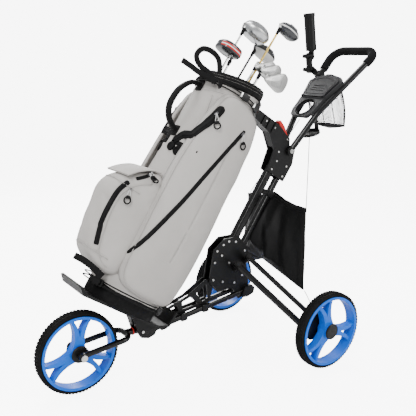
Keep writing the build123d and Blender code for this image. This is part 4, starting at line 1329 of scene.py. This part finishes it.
def make_net():
    """The net pocket under the console: real meshes, a bound mouth and side seams."""
    count, levels = 84, 34
    rows = []
    for k in range(levels + 1):
        t = 1.55 * k / levels
        rows.append(net_ring(t, count, 0.5 * (k % 2)))
    mesh = bpy.data.meshes.new("net_lines")
    verts = [p for ring in rows for p in ring]
    edges = []
    for k in range(levels):
        for j in range(count):
            a, b = k * count + j, (k + 1) * count
            step = -1 if k % 2 == 0 else 1
            edges.append((a, b + j))
            edges.append((a, b + (j + step) % count))
    mesh.from_pydata([tuple(v) for v in verts], edges, [])
    net = bpy.data.objects.new("net_mesh", mesh)
    bpy.context.scene.collection.objects.link(net)
    tree, size, finish = net_tree()
    modifier = net.modifiers.new("Net", "NODES")
    modifier.node_group = tree
    modifier[size] = 0.00055
    modifier[finish] = FINISHES["Net cord"]
    baked(net)
    maker = Maker()
    mouth = net_ring(0.02, 72, 0)
    maker.sweep(mouth, lambda s: slab(0.013, 0.0026), closed=True, caps=False,
                facing=[(p - rear(0, 0.262, 1.0)).normalized() for p in mouth])
    floor = Maker()
    rim = net_ring(0.98, 72, 0)
    floor.tube(rim, 0.0022, 8, closed=True, caps=False)
    rings = [net_ring(t, 72, 0) for t in (1.0, 1.2, 1.4, 1.6, 1.8, 1.97)]
    floor.rings(rings + [[p + Vector((0, 0, 0.0016)) for p in ring] for ring in rings[::-1]], closed=True)
    for j in (9, 27, 45, 63):
        maker.tube([net_ring(t / 10, 72, 0)[j] for t in range(0, 11)], 0.0018, 8)
    parts = [net, maker.object("net_binding", [FINISHES["Webbing"]]),
             floor.object("net_floor", [FINISHES["Webbing"]])]
    piece = joined("net_pocket_mesh", parts)
    settle(piece, "handle", ("net_pocket",))


def rounded_path(points, radius, steps=10):
    """Straight runs joined by arcs of one radius."""
    points = [Vector(p) for p in points]
    out = [points[0]]
    for a, b, c in zip(points, points[1:], points[2:]):
        d, e = (a - b).normalized(), (c - b).normalized()
        half = d.angle(e) / 2
        back = radius / math.tan(half)
        centre = b + (d + e).normalized() * radius / math.sin(half)
        p, q = b + d * back - centre, b + e * back - centre
        turn = p.angle(q)
        for k in range(steps + 1):
            t = k / steps
            out.append(centre + (p * math.sin((1 - t) * turn) + q * math.sin(t * turn)) / math.sin(turn))
    out.append(points[-1])
    return out


def make_grip():
    """The foam grip with its end collars and fine ribs along the palm side."""
    near, foot = rear(0.118, 0.405, 1.155), rear(0.058, 0.150, 0.915)
    far, far_foot = Vector((-near.x, near.y, near.z)), Vector((-foot.x, foot.y, foot.z))
    route = rounded_path([near.lerp(foot, 0.19), near, far, far.lerp(far_foot, 0.30)], 0.046, 12)
    path = evenly(route, 0.003)
    maker = Maker()

    def size(share):
        end = min(share, 1 - share) * len(path) * 0.003
        rib = 0.0004 * math.sin(share * len(path) * 0.003 / 0.0062 * 2 * math.pi)
        return (0.0152 + 0.0018 * min(1.0, end / 0.006) ** 0.5) + rib

    maker.sweep(path, lambda s: circle(size(s), 28))
    for end, other in ((path[0], path[3]), (path[-1], path[-4])):
        axis = (end - other).normalized()
        maker.lathe([(0.0125, -0.002), (0.0168, -0.002), (0.0172, 0.001), (0.0165, 0.005), (0.0138, 0.007),
                     (0.0122, 0.007)], end, axis, 28, mark=1)
    piece = maker.object("foam_sleeve", [FINISHES["Grip foam"], FINISHES["Trim rubber"]], sharp=50)
    settle(piece, "handle", ("foam_grip",))


def make_fittings():
    """Small trims of the cart: cup rim, console tab, fork ring and bolts."""
    maker = Maker()
    mouth = console(0, 0.006, 0.0262)
    rim = [mouth + SIDE * 0.0385 * math.cos(a) + SLOPE * 0.0400 * math.sin(a)
           for a in (2 * math.pi * k / 64 for k in range(64))]
    maker.sweep(rim, lambda s: oval(0.0022, 0.0028, 10), closed=True, caps=False, facing=RISE)
    maker.cushion(console(0, 0.179, 0.0285), (SIDE, SLOPE, RISE), (0.016, 0.0045, 0.0035), 0.002)
    for x in (-0.030, 0.030):
        maker.lathe([(0.0048, 0), (0.0048, 0.001), (0.0035, 0.0018), (0.0008, 0.0020)],
                    console(x, 0.168, 0.0255), RISE,
                    16, mark=1)
    settle(maker.object("console_trim", [FINISHES["Trim rubber"], FINISHES["Zinc plate"]], sharp=50),
           "handle")
    lines = Maker()
    panel = [console(x, s, 0.0324) for x,
             s in ((-0.052, 0.078), (-0.060, 0.110), (-0.066, 0.138), (-0.050, 0.150),
                                               (0.0, 0.162), (0.050, 0.150), (0.066, 0.138), (0.060, 0.110),
                                               (0.052, 0.078), (0.0, 0.074))]
    lines.sweep(smooth(panel, 8, closed=True), lambda s: slab(0.0022, 0.0014), closed=True, caps=False,
                facing=RISE)
    for s in (0.094, 0.106, 0.118):
        lines.sweep([console(x, s, 0.0324) for x in (-0.034, -0.01, 0.01, 0.034)],
                    lambda t: slab(0.0040, 0.0016),
                    facing=RISE)
    settle(lines.object("lid_embossing", [FINISHES["Console lid plastic"]], sharp=50), "lid")
    ring = Maker()
    ring.lathe([(0.0125, -0.002), (0.0142, -0.0018), (0.0146, 0), (0.0142, 0.0018), (0.0125, 0.002)],
               rear(0, -0.640, 0.1716), (0, -1, 0), 32)
    settle(ring.object("fork_ring", [FINISHES["Red plastic"]]), "front_fork")


# Clubs ------------------------------------------------------------------------------------
CLUB_LINES = {  # low (x, w) at u = 60 mm, high (x, w) at u = 860 mm, height of the hosel
    "driver": ((-0.028, -0.072), (-0.025, -0.055), 1.075),
    "fairway_wood": ((-0.066, 0.010), (-0.066, 0.050), 1.060),
    "hybrid": ((0.0, 0.020), (-0.005, 0.060), 1.165),
    "long_iron": ((0.0575, -0.001), (0.059, 0.040), 0.968),
    "short_iron": ((0.037, -0.028), (0.037, 0.023), 0.972),
    "wedge": ((0.076, 0.024), (0.080, 0.030), 0.938),
    "putter": ((0.028, -0.062), (0.030, -0.072), 0.925),
}


def club_point(name, u):
    """(x, w, u) on a club's axis."""
    low, high, _ = CLUB_LINES[name]
    share = (u - 0.060) / 0.800
    return low[0] + (high[0] - low[0]) * share, low[1] + (high[1] - low[1]) * share, u


def club_shaft(maker, name, top, steps, ferrule=0.026):
    """Grip, stepped shaft and ferrule; marks: 0 shaft, 1 black rubber."""
    start, end = bag(*club_point(name, 0.044)), bag(*club_point(name, top))
    axis = (end - start).normalized()
    run = (end - start).length
    profile = [(0.004, 0.0), (0.0108, 0.0006), (0.0124, 0.004), (0.0118, 0.02)]
    for k in range(22):
        at = 0.03 + k * 0.0105
        profile += [(0.0116 - 0.0019 * k / 22, at), (0.0110 - 0.0019 * k / 22, at + 0.008)]
    profile += [(0.0088, 0.268), (0.0055, 0.270)]
    maker.lathe(profile, start, axis, 20, mark=1)
    profile = []
    reach = run - 0.262
    for k in range(steps):
        a, b = k / steps, (k + 1) / steps
        radius = 0.0056 - 0.0014 * k / steps
        profile += [(radius, 0.262 + reach * a), (radius, 0.262 + reach * b - 0.0015)]
    maker.lathe(profile, start, axis, 16, mark=0)
    maker.lathe([(0.0044, -ferrule), (0.0056, -ferrule * 0.9), (0.0068, -0.006), (0.0070, 0.0),
                 (0.0062, 0.001)], end,
                axis, 20, mark=1)
    return end, axis


def wood_head(maker, name, length, depth, height, marks):
    """A wood's head, sole up: a pear-shaped crown under a flatter sole and a flat face."""
    x0, w0, u0 = club_point(name, CLUB_LINES[name][2])
    centre = (x0, w0 + 0.42 * length, u0 + 0.30 * height)
    crown, skirt, sole = marks
    rings = []
    levels, around = 26, 72
    for k in range(1, levels):
        phi = math.pi * (k / levels - 0.5)
        s, c = math.sin(phi), math.cos(phi)
        if s < 0:
            spread, rise = c ** 0.62, -height * 0.56 * abs(s) ** 1.25
        else:
            spread, rise = c ** 0.42, height * 0.44 * s ** 1.7
        ring = []
        for j in range(around):
            t = 2 * math.pi * j / around
            a, b = math.cos(t), math.sin(t)
            pear = 1.0 - 0.10 * math.exp(-((t - 1.5 * math.pi) / 0.7) ** 2)
            x = depth * 0.5 * (a if a > 0 else max(a, -0.74 - 0.05 * b * b)) * spread * pear
            w = length * 0.5 * math.copysign(abs(b) ** 0.92, b) * spread
            ring.append(bag(centre[0] + x, centre[1] + w, centre[2] + rise))
        rings.append(ring)
    for a, b, mark in ((0, 11, crown), (11, 14, skirt), (14, len(rings), sole)):
        part = rings[max(0, a - 1) if a else 0:b]
        maker.rings(part, caps=False, mark=mark)
    for ring, mark in ((rings[0], crown), (rings[-1], sole)):
        hub = sum(ring, Vector()) / len(ring)
        n = len(ring)
        maker.add(ring + [hub], [(j, (j + 1) % n, n) for j in range(n)], mark)
    at = bag(x0, w0, u0)
    axis = (bag(x0, w0, u0 + 0.1) - at).normalized()
    maker.lathe([(0.0066, -0.002), (0.0072, 0.004), (0.0085, height * 0.18), (0.0120, height * 0.30),
                 (0.004, height * 0.34)],
                at, axis, 24, mark=skirt)
    return centre


def head_lines(maker, centre, length, height, mark):
    """A raised keel and two rails on the sole."""
    for x, reach in ((0.004, 0.30), (0.020, 0.20), (-0.014, 0.22)):
        line = [bag(centre[0] + x, centre[1] + length * s,
                    centre[2] + height * (0.405 - 0.22 * (s / 0.5) ** 4))
                for s in (-reach, -reach * 0.5, 0.0, reach * 0.5, reach)]
        maker.sweep(smooth(line, 5),
                    lambda s: oval(0.0030 * math.sqrt(max(0.05, 1 - (2 * s - 1) ** 2)), 0.0022, 10),
                    facing=UP, mark=mark)


def iron_outline(length, tall):
    """Corners of an iron's head, seen along X, from the heel."""
    return [(-0.008, -0.008), (0.008, -0.014), (length * 0.40, -0.0175), (length * 0.72, -0.018),
            (length * 0.93, -0.006), (length, 0.010), (length * 1.0, tall * 0.45),
            (length * 0.93, tall * 0.70),
            (length * 0.78, tall * 0.80), (length * 0.60, tall * 0.78), (length * 0.30, tall * 0.46),
            (0.006, 0.012)]


def iron_head(maker, place, length, tall, thick, top_mark):
    """An iron's head: a grooved face, a thick sole and a hollowed back."""
    x0, w0, u0 = place
    edge = smooth([Vector((0, w, u)) for w, u in iron_outline(length, tall)], 5, closed=True)
    heart = Vector((0, length * 0.56, tall * 0.26))
    rows = []

    def ring(x_of, inset):
        out = []
        for p in edge:
            q = p.lerp(heart, inset)
            out.append(bag(x0 + x_of(q), w0 + q.y, u0 + q.z))
        return out

    def sole(q):
        return 0.45 + 0.55 * min(1.0, max(0.0, (q.z - (q.y * 0.42 - 0.010)) / 0.022))

    rows.append(ring(lambda q: thick * 0.5, 0.94))
    rows.append(ring(lambda q: thick * 0.5, 0.06))
    rows.append(ring(lambda q: thick * 0.5 - 0.0012, 0.0))
    rows.append(ring(lambda q: thick * (0.5 - sole(q)) + 0.0012, 0.0))
    rows.append(ring(lambda q: thick * (0.5 - sole(q)), 0.06))
    rows.append(ring(lambda q: thick * (0.5 - sole(q)), 0.16))
    rows.append(ring(lambda q: thick * 0.22, 0.22))
    rows.append(ring(lambda q: thick * 0.22, 0.94))
    maker.rings(rows, mark=2)
    base, end = bag(x0, w0, u0 - 0.004), bag(x0, w0, u0 + 0.010)
    maker.lathe([(0.0068, -0.001), (0.0072, 0.003), (0.0072, 0.010), (0.006, 0.018), (0.002, 0.022)], base,
                (end - base).normalized(), 24, mark=2)
    for k in range(11):
        low = Vector((0, length * (0.30 + 0.045 * k), -0.012 + 0.0012 * k))
        lift = tall * (0.36 + 0.035 * k)
        a = bag(x0 + thick * 0.5 + 0.0001, w0 + low.y, u0 + low.z)
        b = bag(x0 + thick * 0.5 + 0.0001, w0 + low.y - 0.010, u0 + low.z + lift)
        maker.sweep([a, a.lerp(b, 0.5), b], lambda t: slab(0.0010, 0.0006), facing=SIDE, mark=top_mark)


def make_club(name):
    """One club with its grip, shaft, ferrule and head."""
    maker = Maker()
    top = CLUB_LINES[name][2]
    place = club_point(name, top)
    looks = {
        "driver": ("Bright steel", "Head silver", "Satin nickel", "Dark metal"),
        "fairway_wood": ("Black shaft", "Head paint", "Dark head paint", "Satin nickel"),
        "hybrid": ("Gold shaft", "Dark head paint", "Head paint", "Satin nickel"),
        "long_iron": ("Bright steel", "Satin nickel", "Dark metal", "Dark metal"),
        "short_iron": ("Bright steel", "Satin nickel", "Dark metal", "Dark metal"),
        "wedge": ("Bright steel", "Satin nickel", "Dark metal", "Dark metal"),
        "putter": ("Bright steel", "Dark head paint", "Red plastic", "White paint"),
    }[name]
    materials = [FINISHES[looks[0]], FINISHES["Trim rubber"], FINISHES[looks[1]], FINISHES[looks[2]],
                 FINISHES[looks[3]]]
    wood = name in ("driver", "fairway_wood", "hybrid")
    club_shaft(maker, name, top, 12, 0.030 if wood else 0.022)
    if wood:
        size = {"driver": (0.118, 0.096, 0.062), "fairway_wood": (0.106, 0.072, 0.050),
                "hybrid": (0.100, 0.066, 0.046)}[name]
        centre = wood_head(maker, name, *size, marks=(2, 3, 3 if name == "fairway_wood" else 2))
        head_lines(maker, centre, size[0], size[2], mark=4)
    elif name == "putter":
        x0, w0, u0 = place[0] + 0.004, place[1] - 0.030, place[2] + 0.026
        rows = []
        for h, k in ((-0.015, 0.90), (-0.0135, 0.97), (-0.010, 1.0), (0.008, 1.0), (0.012, 0.97),
                     (0.0145, 0.88),
                     (0.0150, 0.60)):
            rows.append([bag(x0 + p[0] * k, w0 + p[1] * k, u0 + h) for p in oval(0.042, 0.045, 64, 2.7)])
        maker.rings(rows, mark=2)
        for h, mark in ((-0.0075, 3), (-0.0025, 4), (0.0025, 3)):
            line = [bag(x0 + p[0] * 1.012, w0 + p[1] * 1.012, u0 + h) for p in oval(0.042, 0.045, 64, 2.7)
                    if p[0] > 0.012]
            line.sort(key=lambda p: local_of(p)[1])
            maker.sweep(line, lambda s: slab(0.0038, 0.0012), mark=mark,
                        facing=[(p - bag(x0, w0, u0)).normalized() for p in line])
        maker.lathe([(0.0098, 0.0), (0.0098, 0.0008), (0.0075, 0.0010), (0.0070, 0.0)],
                    bag(x0 + 0.012, w0 - 0.016, u0 + 0.0149),
                    UP, 28, mark=4)
        maker.lathe([(0.0052, -0.012), (0.0052, 0.012), (0.0030, 0.016)], bag(*place), UP, 20, mark=0)
    else:
        size = {"long_iron": (0.078, 0.062, 0.016), "short_iron": (0.082, 0.064, 0.016),
                "wedge": (0.090, 0.072, 0.016)}[name]
        if name == "wedge":
            neck = smooth([bag(*place), bag(place[0], place[1] + 0.008, place[2] + 0.004),
                           bag(place[0], place[1] + 0.024, place[2] + 0.005),
                           bag(place[0], place[1] + 0.038, place[2] + 0.006)], 5)
            maker.tube(neck, lambda s: 0.0062 + 0.0010 * s, 16, mark=2)
            place = (place[0], place[1] + 0.034, place[2] + 0.004)
        iron_head(maker, place, *size, top_mark=3)
    piece = maker.object(name + "_club", materials, sharp=42)
    settle(piece, name + "_club", (name,))


# Stage ------------------------------------------------------------------------------------
def make_stage():
    """A pale floor that curves up behind, soft lights, and the camera."""
    look = bpy.context.scene.golf_cart_stage
    maker = Maker()
    profile = [(-6.0, 0.0), (-3.0, 0.0), (0.0, 0.0), (3.2, 0.0), (3.9, 0.10), (4.5, 0.45), (4.9, 1.1),
               (5.1, 2.2),
               (5.15, 5.0)]
    away = Vector((-0.821, 0.571, 0.0))
    wide = Vector((0.571, 0.821, 0.0))
    verts, faces = [], []
    for along, high in profile:
        for side in (-9.0, 9.0):
            verts.append(away * along + wide * side + Vector((0, 0, high)))
    for k in range(len(profile) - 1):
        faces.append((2 * k, 2 * k + 1, 2 * k + 3, 2 * k + 2))
    maker.add(verts, faces)
    r = Recipe("Studio floor", 0.75, specular=0.2)
    r.colour(r.ramp(r.noise(2.0, 2.0), (look.floor[0] * 0.985,) * 3, tuple(look.floor), 0.3, 0.7))
    seen = r.nodes.new("ShaderNodeLightPath")
    r.shader.inputs["Emission Color"].default_value = (1.0, 1.0, 1.0, 1.0)
    r.links.new(r.math("MULTIPLY", seen.outputs["Is Camera Ray"], look.glow),
                r.shader.inputs["Emission Strength"])
    floor = maker.object("studio_floor", [r.material])
    world = bpy.data.worlds.new("Studio light")
    bpy.context.scene.world = world
    world.use_nodes = True
    world.node_tree.nodes["Background"].inputs["Color"].default_value = (1.0, 1.0, 1.0, 1.0)
    world.node_tree.nodes["Background"].inputs["Strength"].default_value = look.ambient
    for name, place, size, power in (("key_light", (1.9, -2.4, 3.0), 1.6, look.key),
                                     ("fill_light", (3.0, 1.8, 1.9), 1.8, look.key * 0.5),
                                     ("top_light", (-0.8, -0.4, 3.4), 1.8, look.key * 0.55),
                                     ("edge_light", (-2.6, 1.2, 2.0), 1.2, look.key * 0.6)):
        light = bpy.data.lights.new(name, "AREA")
        light.shape, light.size, light.energy = "DISK", size, power
        lamp = bpy.data.objects.new(name, light)
        lamp.location = place
        lamp.rotation_mode = "QUATERNION"
        lamp.rotation_quaternion = (Vector((0, 0, 0.6)) - Vector(place)).to_track_quat("-Z", "Y")
        bpy.context.scene.collection.objects.link(lamp)
    a, e, roll = (math.radians(v) for v in (look.azimuth, look.elevation, look.roll))
    back = Vector((math.sin(a) * math.cos(e), -math.cos(a) * math.cos(e), math.sin(e)))
    right = Vector((math.cos(a), math.sin(a), 0.0))
    up = back.cross(right)
    turned_right = right * math.cos(roll) + up * math.sin(roll)
    turned_up = up * math.cos(roll) - right * math.sin(roll)
    lens = bpy.data.cameras.new("Camera")
    lens.lens, lens.sensor_width = 54.88, 36.0
    camera = bpy.data.objects.new("Camera", lens)
    camera.matrix_world = Matrix((turned_right, turned_up, back)).transposed().to_4x4()
    camera.location = rear(1.8645, -1.6154, 1.1154)
    bpy.context.scene.collection.objects.link(camera)
    bpy.context.scene.camera = camera


# Settings, operators and panel ------------------------------------------------------------
class GolfCartColours(bpy.types.PropertyGroup):
    """Colours that a maker would change."""
    cloth: bpy.props.FloatVectorProperty(name="Bag cloth", description="Colour of the bag's cloth",
                                         subtype="COLOR",
                                         size=3, min=0, max=1, default=(0.430, 0.412, 0.392))
    wheels: bpy.props.FloatVectorProperty(name="Wheels", description="Colour of the wheels' plastic",
                                          subtype="COLOR", size=3, min=0, max=1, default=(0.0, 0.120, 0.62))


class GolfCartStage(bpy.types.PropertyGroup):
    """The studio that the cart stands in."""
    floor: bpy.props.FloatVectorProperty(name="Floor", description="Colour of the studio floor",
                                         subtype="COLOR",
                                         size=3, min=0, max=1, default=(0.86, 0.86, 0.86))
    ambient: bpy.props.FloatProperty(name="Ambient", description="Strength of the light from all round",
                                     min=0,
                                     default=0.62)
    glow: bpy.props.FloatProperty(name="Backdrop",
                                  description="How bright the backdrop looks to the camera", min=0,
                                  default=7.0)
    key: bpy.props.FloatProperty(name="Key light", description="Power of the main lamp", unit="POWER",
                                 min=0,
                                 default=130.0)
    azimuth: bpy.props.FloatProperty(name="Azimuth",
                                     description="Camera's angle round the cart, in degrees",
                                     default=55.23)
    elevation: bpy.props.FloatProperty(name="Elevation",
                                       description="Camera's angle above the horizon, in degrees",
                                       default=13.24)
    roll: bpy.props.FloatProperty(name="Roll", description="Camera's turn about its own line, in degrees",
                                  default=0.93)


class CartOperator:
    bl_options = {"REGISTER", "UNDO"}


class GOLFCART_OT_finishes(CartOperator, bpy.types.Operator):
    """Make every material, and paint the frame's metal and plastic parts"""
    bl_idname = "golfcart.finishes"
    bl_label = "Finishes"

    def execute(self, context):
        make_finishes()
        paint_nodes()
        return {"FINISHED"}


class GOLFCART_OT_tyres(CartOperator, bpy.types.Operator):
    """Make the three treaded tyres"""
    bl_idname = "golfcart.tyres"
    bl_label = "Tyres"

    def execute(self, context):
        make_tyre("tread_front", FRONT_AXLE, "front_wheel", "front_tyre")
        make_tyre("tread_right", middle("tyre_right"), "wheel_right", "tyre_right")
        make_tyre("tread_left", middle("tyre_left"), "wheel_left", "tyre_left")
        return {"FINISHED"}


class GOLFCART_OT_bag(CartOperator, bpy.types.Operator):
    """Make the bag's shell, its pockets and all their seams and zips"""
    bl_idname = "golfcart.bag"
    bl_label = "Bag"

    def execute(self, context):
        shell = make_shell()
        sides = {side: make_side_pocket(side) for side in (1, -1)}
        for side, piece in sides.items():
            settle(piece, "frame", ("side_pockets",) if side > 0 else ())
        ball = make_ball_pocket()
        for side, piece in sides.items():
            make_side_trims(side, piece, shell)
        make_ball_trims(ball, shell)
        make_snaps(shell, sides[1])
        make_carry_handle()
        return {"FINISHED"}


class GOLFCART_OT_collar(CartOperator, bpy.types.Operator):
    """Make the collar, its dividers and the lifting loop"""
    bl_idname = "golfcart.collar"
    bl_label = "Collar"

    def execute(self, context):
        make_collar()
        return {"FINISHED"}


class GOLFCART_OT_straps(CartOperator, bpy.types.Operator):
    """Make the bungee cords, buckles and strap tails"""
    bl_idname = "golfcart.straps"
    bl_label = "Straps"

    def execute(self, context):
        make_straps()
        return {"FINISHED"}


class GOLFCART_OT_pouch(CartOperator, bpy.types.Operator):
    """Make the storage pouch and its cords"""
    bl_idname = "golfcart.pouch"
    bl_label = "Storage pouch"

    def execute(self, context):
        make_pouch()
        make_pouch_cords()
        return {"FINISHED"}


class GOLFCART_OT_handle(CartOperator, bpy.types.Operator):
    """Make the net pocket, the foam grip and the small fittings"""
    bl_idname = "golfcart.handle"
    bl_label = "Handle fittings"

    def execute(self, context):
        make_net()
        make_grip()
        make_fittings()
        return {"FINISHED"}


class GOLFCART_OT_clubs(CartOperator, bpy.types.Operator):
    """Make the seven clubs"""
    bl_idname = "golfcart.clubs"
    bl_label = "Clubs"

    def execute(self, context):
        for name in CLUB_LINES:
            make_club(name)
        return {"FINISHED"}


class GOLFCART_OT_stage(CartOperator, bpy.types.Operator):
    """Make the floor, the lights and the camera"""
    bl_idname = "golfcart.stage"
    bl_label = "Stage"

    def execute(self, context):
        make_stage()
        return {"FINISHED"}


STEPS = (GOLFCART_OT_stage, GOLFCART_OT_finishes, GOLFCART_OT_tyres, GOLFCART_OT_bag, GOLFCART_OT_collar,
         GOLFCART_OT_straps, GOLFCART_OT_pouch, GOLFCART_OT_handle, GOLFCART_OT_clubs)


class GOLFCART_PT_panel(bpy.types.Panel):
    """Lists the cart's pieces in the order they are made"""
    bl_label = "Golf Cart"
    bl_idname = "GOLFCART_PT_panel"
    bl_space_type = "VIEW_3D"
    bl_region_type = "UI"
    bl_category = "Golf Cart"

    def draw(self, context):
        colours, stage = context.scene.golf_cart_colours, context.scene.golf_cart_stage
        for group in (colours, stage):
            for key in group.__annotations__:
                self.layout.prop(group, key)
        for step in STEPS:
            self.layout.operator(step.bl_idname)


CLASSES = (GolfCartColours, GolfCartStage, *STEPS, GOLFCART_PT_panel)


def register():
    for entry in CLASSES:
        bpy.utils.register_class(entry)
    bpy.types.Scene.golf_cart_colours = bpy.props.PointerProperty(type=GolfCartColours)
    bpy.types.Scene.golf_cart_stage = bpy.props.PointerProperty(type=GolfCartStage)


def unregister():
    del bpy.types.Scene.golf_cart_stage
    del bpy.types.Scene.golf_cart_colours
    for entry in reversed(CLASSES):
        bpy.utils.unregister_class(entry)


def main():
    """Makes the whole cart."""
    random.seed(7)
    register()
    for step in STEPS:
        space, name = step.bl_idname.split(".")
        getattr(getattr(bpy.ops, space), name)()


if __name__ == "__main__":
    main()
